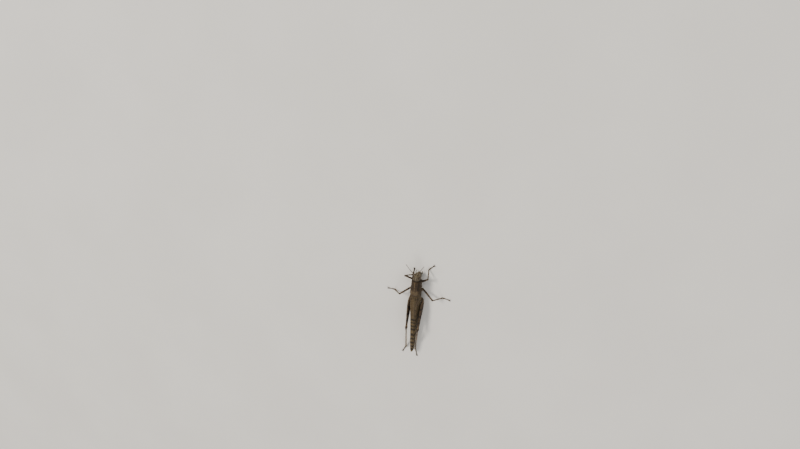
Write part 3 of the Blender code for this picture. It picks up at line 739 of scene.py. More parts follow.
def forewing_finish(name, pale, mid, dark):
    """Leathery wing skin: brown cells in broken bands over a dusty olive ground."""
    finish = Finish(name)
    cloud = finish.noise(0.45, 3, stretch=(1, 0.35, 1))
    fleck = finish.noise(3.2, 4, 0.7, stretch=(1, 0.55, 1))
    grain = finish.noise(12, 2)
    base = finish.blend((cloud * 0.6 + fleck * 0.4).step(0.4, 0.62), mid, shade(pale, 0.52))
    back = finish.stain.part("Y")
    base = finish.blend((back + (fleck - 0.5) * 0.8).step(0.3, 0.8), base, pale)
    cell = finish.stain.part("X") + (fleck - 0.5) * 0.55
    colour = finish.blend(cell.step(0.34, 0.7), base, dark)
    colour = finish.blend(grain.step(0.58, 0.75) * 0.4, colour, shade(dark, 0.8))
    puckers = finish.cells(5).step(0.05, 0.6)
    height = puckers * 0.5 + fleck * 0.4 + grain * 0.3
    return finish.done(colour, 0.46 + fleck * 0.25, height, 0.05, **WAXY)


def vein_finish(name, pale, dark, band):
    """Horny veins, straw-coloured where they run free and brown across the bands."""
    finish = Finish(name)
    fleck = finish.noise(1.1, 4, 0.7)
    fine = finish.noise(7, 2)
    colour = finish.blend((fleck * 0.7 + fine * 0.3).step(0.4, 0.6), dark, pale)
    crossed = (finish.stain.part("X") + (fleck - 0.5) * 0.6).step(0.25, 0.85)
    colour = finish.blend(crossed * 0.85, colour, band)
    return finish.done(colour, 0.44 + fine * 0.2, fine, 0.015, **WAXY)


def hindwing_finish(name, clear, smoke):
    """Pleated smoky membrane with close straight veins."""
    finish = Finish(name)
    ribs = (finish.lie.part("Y") * (PLEAT_VEINS * TAU)).sine().size()
    cross = (finish.lie.part("X") * (CROSS_VEINS * TAU) + finish.noise(0.8) * 9).sine().size()
    net = (1 - ribs).step(0.72, 0.95).most((1 - cross).step(0.86, 0.97))
    cloud = finish.noise(0.35, 3)
    colour = finish.blend(cloud.step(0.42, 0.6), clear, smoke)
    colour = finish.blend(net * 0.8, colour, shade(smoke, 0.35))
    return finish.done(colour, 0.28 + cloud * 0.2, net, 0.03)


def thigh_finish(name, pale, mid, dark):
    """Banded leg shell, its ridges paler than the furrows between them, which are darkened as painted shade.
    """
    finish = Finish(name)
    cloud = finish.noise(0.8, 4)
    fleck = finish.noise(4.5, 3, 0.7)
    base = finish.blend((cloud * 0.5 + fleck * 0.5).step(0.4, 0.6), mid, shade(mid, 1.6))
    # Painted shade in the furrows of the third stain layer.
    furrow = finish.stain.part("Z").step(0.1, 0.9)
    colour = finish.blend(furrow * 0.55, finish.marked(base, pale, dark, 0.6, 3), shade(dark, 0.8))
    height = fleck * 0.6 + finish.cells(8).step(0.1, 0.5) * 0.5
    return finish.done(colour, 0.44 + fleck * 0.2, height, 0.04, **WAXY)


def thorn_finish(name, pale, tip):
    """Ivory thorn with a black point."""
    finish = Finish(name)
    along = finish.layer("strand").part("X")
    fleck = finish.noise(9, 2)
    colour = finish.blend((along + (fleck - 0.5) * 0.2).step(0.5, 0.7), pale, tip)
    colour = finish.blend(fleck.step(0.5, 0.7) * 0.3, colour, shade(pale, 0.5))
    return finish.done(colour, 0.3 + fleck * 0.2, fleck, 0.01, Coat_Weight=0.2, Coat_Roughness=0.2)


def skin_finish(name, pale, dark):
    """Soft folded skin between the plates."""
    finish = Finish(name)
    fleck = finish.noise(4, 4, 0.7)
    folds = finish.noise(1.2, 2, stretch=(0.4, 3, 0.4))
    colour = finish.blend((fleck * 0.5 + folds * 0.5).step(0.4, 0.6), dark, pale)
    return finish.done(colour, 0.62 + fleck * 0.2, folds + fleck * 0.4, 0.08)


def bristle_finish(name, pale, dark):
    """Fine horny bristles, some paler than others."""
    finish = Finish(name)
    fleck = finish.noise(1.5, 2)
    return finish.done(finish.blend(fleck.step(0.42, 0.58), dark, pale), 0.5 + fleck * 0.2)


def floor_finish(name, colour):
    """Pale matt board with the faintest cloud and tooth."""
    finish = Finish(name)
    cloud = finish.noise(0.012, 3)
    tooth = finish.noise(1.4, 3, 0.6)
    tint = finish.blend(cloud.step(0.3, 0.7), colour, shade(colour, 1.05))
    tint = finish.blend(tooth.step(0.5, 0.8) * 0.3, tint, shade(colour, 0.94))
    return finish.done(tint, 0.75 + tooth * 0.15, tooth, 0.02)


def coat(name):
    """The finish of this name, made the first time that it is asked for. Beside its colours, a
    shell has its pits to a millimetre, its roughness and the height of its relief."""
    colours = bpy.context.scene.locust_colours
    pale, mark, belly = colours.shell_pale, colours.marking, colours.belly
    recipes = {
        "Body shell": (shell_finish, pale, colours.shell, colours.shell_deep, mark),
        "Saddle shell": (shell_finish, pale, colours.shell, colours.shell_deep, mark, 4.6, 0.62, 0.07),
        "Belly shell": (shell_finish, pale, belly, shade(belly, 0.55), mark, 5, 0.42, 0.03),
        "Head shell": (
            shell_finish, colours.face_pale, colours.face, shade(colours.face, 0.55), mark, 8, 0.52, 0.035
        ),
        "Soft skin": (skin_finish, shade(belly, 0.9), colours.shell_deep),
        "Horn tips": (feeler_finish, shade(colours.feeler, 0.5), mark),
        "Feeler horn": (feeler_finish, colours.feeler, shade(colours.feeler, 0.45)),
        "Striped eye": (eye_finish, colours.eye_stripe, colours.eye),
        "Amber lens": (glass_finish, colours.thorn),
        "Forewing skin": (forewing_finish, colours.wing_pale, colours.wing, colours.wing_band),
        "Forewing veins": (vein_finish, colours.wing_pale, colours.wing, shade(colours.wing_band, 1.3)),
        "Hindwing skin": (hindwing_finish, colours.hindwing, colours.wing),
        "Thigh shell": (thigh_finish, pale, colours.thigh, mark),
        "Shin shell": (thigh_finish, pale, colours.thigh, mark),
        "Hind shin shell": (thigh_finish, pale, colours.shin, mark),
        "Foot shell": (thigh_finish, shade(colours.foot, 1.7), colours.foot, mark),
        "Thorn horn": (thorn_finish, colours.thorn, mark),
        "Bristle": (bristle_finish, colours.thorn, shade(colours.shell, 0.6)),
    }
    build, *values = recipes[name]
    return bpy.data.materials.get(name) or build(name, *values)


# ---- head

# Share of the head's height and of its breadth, and how far its face and its nape are set in.
HEAD_STATIONS = (
    (-0.015, 0, 1.85, 2.15),
    (0, 0.3, 1.45, 1.75),
    (0.06, 0.52, 1.05, 1.25),
    (0.16, 0.76, 0.68, 0.75),
    (0.3, 0.92, 0.34, 0.28),
    (0.46, 0.99, 0.1, 0.04),
    (0.62, 1, 0, 0),
    (0.76, 0.95, 0.12, 0),
    (0.88, 0.82, 0.48, 0.16),
    (0.96, 0.58, 1.05, 0.55),
    (1, 0.26, 1.75, 1.15),
    (1.005, 0, 2.3, 1.7),
)
HEAD_FULLNESS = 2.25
HEAD_ROWS = 150
HEAD_COLUMNS = 168
CHIN_SEAM = 3.42  # heights of the seams above and below the plate that carries the upper lip
LIP_SEAM = 2.78
CHEEK_LINE = -27.9
EYE_TILT = 0.12  # how far back the eye leans for a millimetre of height
SIMPLE_EYES = ((0, 6.15), (1.1, 7.75), (-1.1, 7.75))  # across and up


def head_skin():
    """The bare head capsule: level rings from the lip up to the crown."""
    table = np.array(HEAD_STATIONS)
    run = travelled(np.stack([table[:, 0] * HEAD_HEIGHT, table[:, 1] * HEAD_WIDTH / 2], 1))
    at = np.linspace(0.05, run[-1] - 0.03, HEAD_ROWS)
    height, width, face, nape = (column[:, None] for column in flowing(np.column_stack([run, table]), at))
    turns = even_turns(HEAD_FULLNESS, HEAD_COLUMNS, -math.pi / 2, 1.5 * math.pi)
    front = FACE_Y + face
    back = FACE_Y + HEAD_DEPTH - nape
    x = HEAD_WIDTH / 2 * width * spow(np.cos(turns), 2 / HEAD_FULLNESS)
    y = (front + back) / 2 + (back - front) / 2 * spow(np.sin(turns), 2 / HEAD_FULLNESS)
    return triple(x, y, MOUTH_HEIGHT + height * HEAD_HEIGHT)


def eye_measure(y, z):
    """How far out from the middle of its own eye a point of the head lies: 1 at the rim."""
    rise = z - EYE_CENTRE[2]
    ahead = y - EYE_CENTRE[1] + EYE_TILT * rise
    return np.sqrt((ahead / (EYE_SIZE[1] / 2)) ** 2 + (rise / (EYE_SIZE[2] / 2)) ** 2)


def head_capsule():
    """The head with its facial ridge, seams, eye rims, feeler sockets and plates, and its marks."""
    skin = head_skin()
    normal = normals_of(skin)
    x, y, z = np.moveaxis(skin, -1, 0)
    across = np.abs(x)
    front = smooth(-normal[..., 1], 0.25, 0.7)
    crown = smooth(normal[..., 2], 0.35, 0.8)
    side = smooth(across, 1.2, 1.7)

    ridge = np.interp(z, (3.4, 5, 6.4, 7.2, 8.6), (0.66, 0.5, 0.42, 0.36, 0.5))
    on_ridge = front * (1 - smooth(across, ridge - 0.06, ridge + 0.1)) * window(z, 3.5, 8.5, 0.25)
    trough = front * bell(across, 0, ridge * 0.42) * window(z, 4, 8, 0.4)
    keel_line = np.interp(z, (3.2, 6.3), (1.66, 1.16))
    keels = front * bell(across, keel_line, 0.1) * window(z, 3.3, 6.2, 0.3)
    cheek_seam = smooth(across, 1.4, 1.7) * bell(y, -27.95 + 0.1 * (6 - z), 0.1) * window(z, 3.3, 5.6, 0.2)
    relief = 0.17 * on_ridge - 0.13 * trough + 0.1 * keels - 0.1 * cheek_seam

    rim = eye_measure(y, z)
    orbit = 0.12 * bell(rim, 1.14, 0.07) - 0.05 * bell(rim, 1.3, 0.07)
    relief += side * (orbit - 0.25 * (1 - smooth(rim, 0.8, 1)))
    socket = np.hypot(across - SOCKET[0], z - SOCKET[1])
    relief += front * (0.12 * bell(socket, 0.5, 0.1) - 0.26 * (1 - smooth(socket, 0.22, 0.42)))

    chin_seam = front * bell(z, CHIN_SEAM, 0.08) * (1 - smooth(across, 1.7, 1.9))
    lip_seam = front * bell(z, LIP_SEAM, 0.07) * (1 - smooth(across, 1.15, 1.35))
    cheek_end = smooth(across, 1.3, 1.5) * bell(z, 3.05 + 0.25 * (across - 1.5), 0.07)
    relief -= 0.13 * chin_seam + 0.12 * lip_seam + 0.12 * cheek_end
    relief += 0.06 * front * window(z, 2.85, 3.3, 0.08) * (1 - smooth(across, 1.2, 1.5))

    brow = np.hypot(across * 0.9, (y + 28.25) * 1.1)
    relief += crown * (0.07 * bell(brow, 0.75, 0.12) - 0.07 * (1 - smooth(brow, 0.2, 0.7)))
    relief += crown * 0.05 * bell(across, 0, 0.1) * smooth(y, -27.8, -27.2)
    nape_groove = bell(y, -26.05, 0.12) * smooth(z, 3, 4.5)
    relief -= 0.04 * nape_groove
    relief += 0.035 * ripple(skin, 1.1, 3) + 0.015 * ripple(skin, 0.45, 4)

    dark = strongest(
        0.66 * smooth(y, -27.1, -26.2) * smooth(z, 5.2, 6.6),
        0.8 * smooth(across, 1.5, 1.8) * bell(y, CHEEK_LINE, 0.42) * window(z, 3.4, 5.75, 0.2),
        0.75 * crown * bell(across, 0.62, 0.2) * smooth(y, -28.6, -28),
        0.55 * front * bell(socket, 0.45, 0.2),
    )
    pale = strongest(
        0.62 * front * window(z, 3.4, 8.6, 0.4) * (1 - 0.9 * bell(across, 0.75, 0.18)),
        0.75 * crown * bell(across, 0, 0.22),
        0.7 * smooth(across, 1.6, 1.9) * window(z, 3.2, 5.7, 0.3) * window(y, -27.4, -26.6, 0.2),
        0.72 * side * bell(rim, 1.2, 0.09),
    )
    pale *= 1 - 0.8 * smooth(y, -26.8, -26.4)
    seams = chin_seam + lip_seam + cheek_end + cheek_seam
    # The seams, the nape groove and the facial trough, darkened by the finish as painted shade.
    deep = np.clip(seams + nape_groove * 0.35 + trough * 0.5, 0, 1)
    return swell(skin, relief), triple(dark, pale, deep)


def upper_lip():
    """A curved plate with a notch in its lower edge: its outer face and its marks."""
    across = np.linspace(-1, 1, 40)
    down = np.linspace(0, 1, 24)[:, None]
    half = 1.06 * np.sqrt(np.clip(1 - np.clip(down - 0.35, 0, 1) ** 2 * 1.6, 0.05, 1))
    notch = 0.2 * bell(across, 0, 0.16) * smooth(down, 0.5, 1)
    z = 2.8 - 1.32 * down + notch + 0.25 * across**2 * down
    y = -29.02 + 0.62 * down**1.5 + 0.42 * across**2 - 0.1 * np.sin(math.pi * down)
    dark = 0.6 * bell(across, 0, 0.14) + 0.5 * smooth(down, 0.8, 1)
    return triple(half * across, y, z), triple(dark, 0.7 - dark * 0.5, 0)


def mouth_feeler(root, tip, side, joints, radius):
    """A short feeler of swollen joints beside the mouth."""
    elbow = (root[0] + 0.35, root[1] - 0.15, lerp(root[2], tip[2], 0.45))
    route = curve_through([(px * side, py, pz) for px, py, pz in (root, elbow, tip)], 60)
    share = np.linspace(0, 1, len(route))
    girth = radius * (0.84 + 0.14 * np.abs(np.sin(math.pi * share * joints)) ** 0.6)
    girth *= lerp(1, 0.84, share)
    girth *= np.sqrt(np.clip(1 - smooth(share, 0.93, 1) * 0.85, 0.05, 1))
    dark = np.abs(np.cos(math.pi * share * joints)) ** 10
    stain = triple(dark * 0.5, (1 - dark) * 0.5, dark * 0.7)[:, None]
    return limb_grid(route, girth, girth, 18, up=(0, 1, 0)), stain


def build_head():
    """The head capsule, the upper lip, and behind it the jaws and the lower lip."""
    head = Shape()
    head.add(*head_capsule())
    lip, stain = upper_lip()
    head.add_sheet(lip, 0.22, stain)
    for side in SIDES.values():
        head.add(blob((0.72 * side, -27.75, 2.15), (0.62, 0.72, 0.85), fullness=2.4), slot=1)
        head.add(blob((0.6 * side, -26.75, 2.05), (0.6, 0.45, 0.75), fullness=2.6))
    head.make("head_shell", ["Head shell", "Horn tips"], "cuticle", ["head"])


def build_eyes():
    """The two large striped eyes and the three simple ones between them."""
    across, length, height = (size / 2 for size in EYE_SIZE)
    polar = np.linspace(0.06, math.pi - 0.06, 56)[:, None]
    turns = full_turn(80)
    z = -np.cos(polar) * height * np.ones_like(turns)
    x = np.sin(polar) * np.cos(turns) * across
    y = np.sin(polar) * np.sin(turns) * length - EYE_TILT * z
    stripe = 0.5 + (y + EYE_TILT * z) / length / np.sqrt(1 - 0.45 * (z / height) ** 2) * 0.5
    # The rim where the eye meets the head, which the eye's finish darkens as painted shade.
    edge = 1 - smooth(np.sin(polar) * np.abs(np.cos(turns)), 0.1, 0.45)
    for word, side in SIDES.items():
        ball = triple((EYE_CENTRE[0] + x - 0.1 * z) * side, EYE_CENTRE[1] + y, EYE_CENTRE[2] + z)
        eye = Shape().add(ball, triple(stripe, 0, edge))
        eye.make("striped_eye_" + word, ["Striped eye"], "eye", ["eye_" + word])
    skin, _ = head_capsule()
    lenses = Shape()
    for place, up in SIMPLE_EYES:
        behind = skin[..., 1] > -28.2
        gap = (skin[..., 0] - place) ** 2 + (skin[..., 2] - up) ** 2 + 9 * behind
        spot = skin[np.unravel_index(gap.argmin(), gap.shape)]
        lenses.add(blob(spot, (0.13, 0.1, 0.15), 12, 18))
    lenses.make("simple_eyes", ["Amber lens"], "eye")


# Share of a feeler's root, and its radius there.
FEELER_ROOT = (
    (0, 0.2), (0.08, 0.33), (0.4, 0.37), (0.56, 0.34), (0.62, 0.22), (0.72, 0.27), (0.92, 0.26), (1, 0.16)
)
ROOT_LENGTH = 1.12
FIRST_JOINT = 0.95  # from the start of the route


def build_feelers(sizes):
    """Feelers threaded on their routes, their roots, and the jointed feelers of the mouth."""
    tree = feeler_tree()
    for word in SIDES:
        route = curve_through(FEELER_ROUTES[word], 80)
        run = travelled(route)
        stalk = route[run > FIRST_JOINT]
        guide = line_mesh("feeler route", stalk, steps_between(0, len(stalk)))
        values = {"Joints": sizes.joints, "Radius": sizes.feeler_width / 2, "Tip_Share": 0.62}
        grow("feeler_" + word, tree, guide, "Feeler horn", "feeler", ["antenna_" + word], **values)
        share = np.linspace(0, 1, 40)
        root = np.stack([np.interp(ROOT_LENGTH * share, run, column) for column in route.T], -1)
        girth = flowing(FEELER_ROOT, share)[0]
        dark = bell(share, 0.62, 0.06)
        stain = triple(dark, 0.5 * (1 - dark), dark)[:, None]
        stalk = Shape().add(limb_grid(root, girth, girth, 24), stain)
        stalk.make("feeler_root_" + word, ["Head shell"], "feeler")
    palps = Shape()
    for side in SIDES.values():
        palps.add(*mouth_feeler((1.75, -28.2, 3.1), (1.75, -29.25, 0.98), side, 4, 0.25))
        palps.add(*mouth_feeler((1, -27.2, 2.3), (0.85, -27.9, 0.8), side, 3, 0.23))
    names = ["palp_" + kind + "_" + word for kind in ("maxillary", "labial") for word in SIDES]
    palps.make("mouth_feelers", ["Head shell"], "feeler", names)


def build_neck():
    """The back of the head, sliding under the saddle, and the soft folds of the throat."""
    neck = Shape()
    ys = np.linspace(-27.2, -23.6, 60)
    open_end = smooth(ys, -25.4, -23.6)
    hidden = 1 - smooth(ys, -27.2, -26.2)
    half = 2.44 + 0.12 * open_end - 0.26 * hidden
    top = 9.02 - 0.05 * open_end - 0.55 * hidden
    collar = trunk_grid(ys, half, top, 4.2, 5.9, 2.42, even_turns(2.3, 120))
    ring = bell(ys, -25.55, 0.1)[:, None]
    dark = 0.62 * smooth(collar[..., 2], 5.4, 6.8)
    relief = 0.05 * ring + 0.025 * ripple(collar, 0.8, 9)
    # The third layer gives the ring groove painted shade.
    neck.add(swell(collar, relief), triple(dark, 0.4 * (1 - dark), 0.4 * ring))
    ys = np.linspace(-26.7, -23.8, 60)
    folds = 0.07 * np.sin((ys + 26.6) * TAU / 0.42)
    throat = trunk_grid(ys, 1.95 + folds, 7.2 + folds, 3.15 - folds, 5.2, 2.2, even_turns(2.2, 90))
    neck.add(swell(throat, 0.04 * ripple(throat, 0.9, 9)), slot=1)
    neck.make("neck_folds", ["Head shell", "Soft skin"], "belly")


# ---- saddle and body

# Share of the saddle's length, share of its breadth, how far its crest drops and its lower edge
# rises, how far each section leans back with height, and sweeps back towards the middle.
SADDLE_STATIONS = (
    (0, 0.8, 1.12, 0.75, 0, 0),
    (0.06, 0.86, 0.84, 0.3, 0.01, 0),
    (0.3, 0.9, 0.66, 0, 0.02, 0),
    (0.36, 0.89, 0.7, 0, 0.02, 0),
    (0.42, 0.91, 0.6, 0.05, 0.03, 0),
    (0.56, 0.92, 0.48, 0.15, 0.08, 0.02),
    (0.61, 0.92, 0.48, 0.2, 0.12, 0.04),
    (0.67, 0.94, 0.34, 0.35, 0.17, 0.08),
    (0.84, 0.98, 0.24, 0.8, 0.25, 0.2),
    (1, 0.99, 0.58, 1.5, 0.32, 0.32),
)
SADDLE_ROWS = 190
SADDLE_COLUMNS = 190
SADDLE_FULLNESS = 2.5
SADDLE_WALL = 0.3
SADDLE_EDGES = (math.radians(-62), math.radians(242))  # its lower edges, as turns from the left
FURROWS = ((0.215, 0.75), (0.365, 1), (0.6, 1.15))  # share of the saddle's length, and depth
GRAINS = 620
GRAIN_SPREAD = 0.011  # in square millimetres


def saddle_grains(skin):
    """Small bumps over the front of the saddle and pits over its rear, scattered at random."""
    chance = np.random.default_rng(11)
    flat = skin.reshape(-1, 3)
    picks = flat[chance.integers(0, len(flat), GRAINS)]
    behind = picks[:, 1] > PRONOTUM_FRONT + 0.55 * PRONOTUM_LENGTH
    grains = np.zeros(len(flat))
    for pick, rear in zip(picks, behind):
        near = np.exp(-((flat - pick) ** 2).sum(axis=1) / GRAIN_SPREAD)
        grains += near * (-0.065 if rear else 0.05)
    return np.clip(grains.reshape(skin.shape[:2]), -0.09, 0.07)


def build_saddle(sizes):
    """The saddle-shaped shield over the front of the body: a thin shell, open below."""
    s = np.linspace(0, 1, SADDLE_ROWS)
    width, drop, rise, lean, sweep = flowing(SADDLE_STATIONS, s)
    turns = even_turns(SADDLE_FULLNESS, SADDLE_COLUMNS, *SADDLE_EDGES, closed=False, aspect=1.45)
    ys = PRONOTUM_FRONT + s * PRONOTUM_LENGTH
    half, top, bottom = PRONOTUM_WIDTH / 2 * width, PRONOTUM_CREST - drop, LOBE_BOTTOM + rise
    widest = lerp(LOBE_BOTTOM, PRONOTUM_CREST, 0.28)
    skin = trunk_grid(ys, half, top, bottom, widest, SADDLE_FULLNESS, turns, lean, sweep)
    normal = normals_of(skin, closed=False)
    x, _, z = np.moveaxis(skin, -1, 0)
    across = np.abs(x)
    s = s[:, None]
    disc = smooth(normal[..., 2], 0.25, 0.7)
    lobe = 1 - smooth(z, 7, 8.4)
    rear = smooth(s, 0.57, 0.61)
    column = np.arange(SADDLE_COLUMNS)
    to_edge = np.minimum(column, SADDLE_COLUMNS - 1 - column) / SADDLE_COLUMNS

    furrow = np.zeros_like(x)
    for place, depth in FURROWS:
        bent = place + 0.012 * np.cos(across * 1.6) - 0.012 * lobe
        furrow += depth * bell(s, bent, 0.0105) * (1 - 0.85 * (1 - smooth(z, 4.6, 5.8)))
    lobe_furrow = lobe * bell(z, 6.3 + 0.6 * (s - 0.4), 0.12) * window(s, 0.22, 0.58, 0.03)
    keel = bell(across, 0, 0.17) * (1 - 0.9 * np.clip(furrow, 0, 1)) * (normal[..., 2] > 0)
    keel *= np.interp(s, (0, 0.1, 0.5, 0.62, 0.9, 1), (0.75, 1, 1, 0.7, 0.6, 0.3))
    relief = keel * sizes.keel_height / MM - 0.12 * np.clip(furrow, 0, 1.2) - 0.1 * lobe_furrow
    relief += 0.1 * bell(s, 0.012, 0.022) + 0.09 * bell(s, 0.985, 0.018) + 0.1 * bell(to_edge, 0.01, 0.016)
    relief += 0.05 * disc * rear * bell(across, 2.05 + 0.6 * (s - 0.6), 0.2)
    relief += saddle_grains(skin) * (1 - bell(s, 0, 0.04)) * (1 - bell(s, 1, 0.03))
    relief += 0.05 * ripple(skin, 1.9, 21) + 0.02 * ripple(skin, 0.7, 22)

    velvet = strongest(
        disc * (0.72 * bell(across, 0.9, 0.4) + bell(across, 2.05, 0.46)) * window(s, 0.03, 0.57, 0.04),
        0.75 * bell(across, 2.66, 0.24) * window(s, 0, 0.6, 0.03) * smooth(z, 7.2, 8),
    )
    dark = strongest(
        0.84 * velvet,
        0.46 * disc * window(s, 0.02, 0.57, 0.04),
        0.45 * bell(s, 0.02, 0.035) * smooth(z, 6, 7.5),
        0.6 * lobe * (bell(s, 0.3, 0.06) + bell(s, 0.55, 0.05)) * window(z, 5.2, 7.4, 0.4),
        0.85 * bell(s, 1, 0.07) * bell(across, 0, 1.1),
    )
    dark *= 1 - 0.8 * bell(across, 0, 0.22) * disc
    pale = strongest(
        0.8 * disc * bell(across, 0, 0.24) * (1 - 0.6 * smooth(s, 0.62, 0.8)),
        0.62 * lobe * (bell(z, 4.4, 0.55) + bell(to_edge, 0.01, 0.02)),
        0.56 * disc * bell(across, 1.55, 0.22) * window(s, 0.1, 0.95, 0.05),
        0.45 * rear * disc * window(s, 0.62, 0.93, 0.05),
    )
    pale *= 1 - np.clip(dark, 0, 1) * 0.85
    # The furrows, darkened by the finish as painted shade.
    deep = np.clip(np.clip(furrow, 0, 1) + lobe_furrow, 0, 1)
    saddle = Shape().add_sheet(swell(skin, relief, closed=False), SADDLE_WALL, triple(dark, pale, deep))
    saddle.make("saddle_shield", ["Saddle shell"], "pronotum", ["pronotum"])


# Place along the body, half breadth, top and bottom.
THORAX_STATIONS = (
    (-25, 1.2, 4.6, 3.2),
    (-24.6, 1.5, 5, 2.9),
    (-23.6, 2, 6, 2.35),
    (-20.5, 2.6, 7, 2.1),
    (-17.5, 2.9, 7.7, STERNUM_HEIGHT),
    (-14.2, 2.95, THORAX_HEIGHT, STERNUM_HEIGHT),
    (-11, 2.9, THORAX_HEIGHT, STERNUM_HEIGHT + 0.1),
    (THORAX_END, 2.45, THORAX_HEIGHT - 0.4, STERNUM_HEIGHT + 0.3),
)
FLANK_SEAMS = ((-21.2, 0.7), (-19, 1), (-16.9, 0.8), (-14.6, 1.1), (-12.4, 0.8), (-9.7, 1))
BELLY_SEAMS = (-20.8, -18.6, -15.2, -12.6, -10)


def build_thorax():
    """Breastplate and flanks with their slanting seams."""
    ys = np.linspace(THORAX_STATIONS[0][0], THORAX_END, 190)
    half, top, bottom = flowing(THORAX_STATIONS, ys)
    skin = trunk_grid(ys, half, top, bottom, 3.7, 2.15, even_turns(2.15, 150))
    normal = normals_of(skin)
    x, y, z = np.moveaxis(skin, -1, 0)
    flank = smooth(np.abs(normal[..., 0]), 0.35, 0.75)
    under = smooth(-normal[..., 2], 0.4, 0.8)
    above_belly = flank * smooth(z, 2.6, 3.1)
    seams = np.zeros_like(x)
    ribs = np.zeros_like(x)
    for start, strength in FLANK_SEAMS:
        line = start + 0.42 * (z - 3.2)
        seams += strength * bell(y, line, 0.11) * above_belly
        ribs += strength * bell(y, line + 0.27, 0.13) * above_belly
    cross = sum(bell(y, place, 0.1) for place in BELLY_SEAMS) * under
    length_seam = bell(np.abs(x), 1.25, 0.09) * under
    breathing = np.hypot(y + 15.6, z - 4.6)
    relief = 0.1 * ribs - 0.14 * seams - 0.12 * cross - 0.09 * length_seam
    relief += flank * (0.07 * bell(breathing, 0.34, 0.08) - 0.14 * (1 - smooth(breathing, 0.12, 0.28)))
    relief += 0.04 * ripple(skin, 1.3, 31) + 0.018 * ripple(skin, 0.5, 32)
    dark = np.clip(0.75 * seams + 0.5 * cross, 0, 1)
    pale = np.clip(0.8 * ribs + 0.35 * under, 0, 1)
    # The third layer gives the seams painted shade.
    thorax = Shape().add(swell(skin, relief), triple(dark, pale, np.clip(seams + cross + length_seam, 0, 1)))
    thorax.make("flank_plates", ["Body shell"], "cuticle", ["thorax"])


# Place along the body, half breadth, top and bottom.
ABDOMEN_STATIONS = (
    (THORAX_END, 2, 7.4, 2.3),
    (-4, 2, 7.1, 2.35),
    (2, 1.85, 6.5, 2.45),
    (8, 1.68, 5.75, 2.55),
    (14, 1.42, 5.1, 2.6),
    (ABDOMEN_END, 1.15, 4.7, 2.55),
)
ABDOMEN_START = THORAX_END - 0.15
ABDOMEN_COLUMNS = 132
STUDS = 11  # dark spots round the hind edge of each ring
HEARING_DRUM = (-6.9, 5)  # along and up


def build_abdomen():
    """Eight ringed plates, each with its hind edge over the next."""
    ys = np.linspace(ABDOMEN_START, ABDOMEN_END, 320)
    half, top, bottom = flowing(ABDOMEN_STATIONS, ys)
    middle = lerp(bottom, top, 0.48)
    turns = even_turns(2.2, ABDOMEN_COLUMNS, aspect=1.2)
    skin = trunk_grid(ys, half, top, bottom, middle, 2.2, turns)
    _, y, z = np.moveaxis(skin, -1, 0)
    middle = middle[:, None]
    local = ((ys - ABDOMEN_START) / (ABDOMEN_END - ABDOMEN_START) * ABDOMEN_SEGMENTS)[:, None]
    number = np.floor(local)
    local = local - number
    upper = smooth(z, middle - 0.1, middle + 0.1)
    edge = smooth(local, 0.55, 0.97)
    tuck = 1 - smooth(local, 0, 0.1)
    side_fold = bell(z, middle - 0.12, 0.16)
    drum = np.hypot((y - HEARING_DRUM[0]) / 0.62, (z - HEARING_DRUM[1]) / 0.85)
    first = number == 0
    opening = ABDOMEN_START + (number + 0.3) * (ABDOMEN_END - ABDOMEN_START) / ABDOMEN_SEGMENTS
    breathing = np.hypot(y - opening, z - middle - 0.42)
    relief = 0.07 * edge - 0.12 * tuck - 0.15 * side_fold
    relief += first * (0.06 * bell(drum, 1, 0.16) - 0.17 * (1 - smooth(drum, 0.7, 0.95)))
    relief += (number > 0) * (0.04 * bell(breathing, 0.15, 0.05) - 0.08 * bell(breathing, 0, 0.08))
    relief += 0.03 * ripple(skin, 1, 41)
    studs = 0.5 + 0.5 * np.cos(np.arange(ABDOMEN_COLUMNS) * TAU / (ABDOMEN_COLUMNS / STUDS))
    dark = strongest(
        0.85 * upper * bell(local, 0.93, 0.05) * (0.35 + 0.65 * studs),
        0.6 * upper * (1 - smooth(local, 0.05, 0.3)),
        0.8 * first * (1 - smooth(drum, 0.6, 0.9)),
    )
    pale = 0.6 * (1 - upper) + 0.5 * upper * window(local, 0.5, 0.85, 0.1)
    # The third layer gives the tucks between rings and the side fold painted shade.
    abdomen = Shape().add(swell(skin, relief), triple(dark, pale, np.clip(tuck + side_fold, 0, 1)))
    abdomen.make("ringed_abdomen", ["Belly shell"], "belly", ["abdomen"])


# Share of the tail plate's length and of its size, and how far its underside rises.
TAIL_STATIONS = ((0, 1, 0), (0.3, 0.95, 0.05), (0.6, 0.78, 0.35), (0.85, 0.5, 0.85), (1, 0.22, 1.2))
TAIL_LENGTH = 3.1
CERCUS_ROUTE = ((0.45, 20, 4.1), (0.74, 21, 4.15), (0.7, 22.4, 4.1))


def build_tail():
    """The upturned tail plate with the two short feelers beside it."""
    share = np.linspace(0, 1, 60)
    size, rise = flowing(TAIL_STATIONS, share)
    ys = ABDOMEN_END - 0.05 + share * TAIL_LENGTH
    widest = 3.55 + 0.4 * share
    grid = trunk_grid(ys, 1.08 * size, 4.6 - 0.35 * share, 2.6 + rise, widest, 2.1, even_turns(2.1, 60))
    low = 1 - smooth(grid[..., 2], 3.3, 3.7)
    seam = bell(grid[..., 2], 3.75 + 0.3 * share[:, None], 0.1)
    relief = -0.12 * seam + 0.02 * ripple(grid, 0.6, 43) - 0.08 * bell(share, 0.45, 0.03)[:, None] * low
    # The seam is marked dark and, through the third layer, also given painted shade.
    tail = Shape().add(swell(grid, relief), triple(seam * 0.6, low * 0.7, seam))
    for side in SIDES.values():
        route = curve_through([(x * side, y, z) for x, y, z in CERCUS_ROUTE], 30)
        share = np.linspace(0, 1, len(route))
        girth = np.interp(share, (0, 0.4, 0.8, 1), (0.3, 0.28, 0.2, 0.05))
        dark = smooth(share, 0.75, 1)
        tail.add(limb_grid(route, girth, girth * 0.85, 20), triple(dark, 0.5 - dark * 0.5, 0)[:, None])
    names = ["subgenital_plate", "cercus_left", "cercus_right"]
    tail.make("tail_plates", ["Belly shell"], "belly", names)


# ---- wings

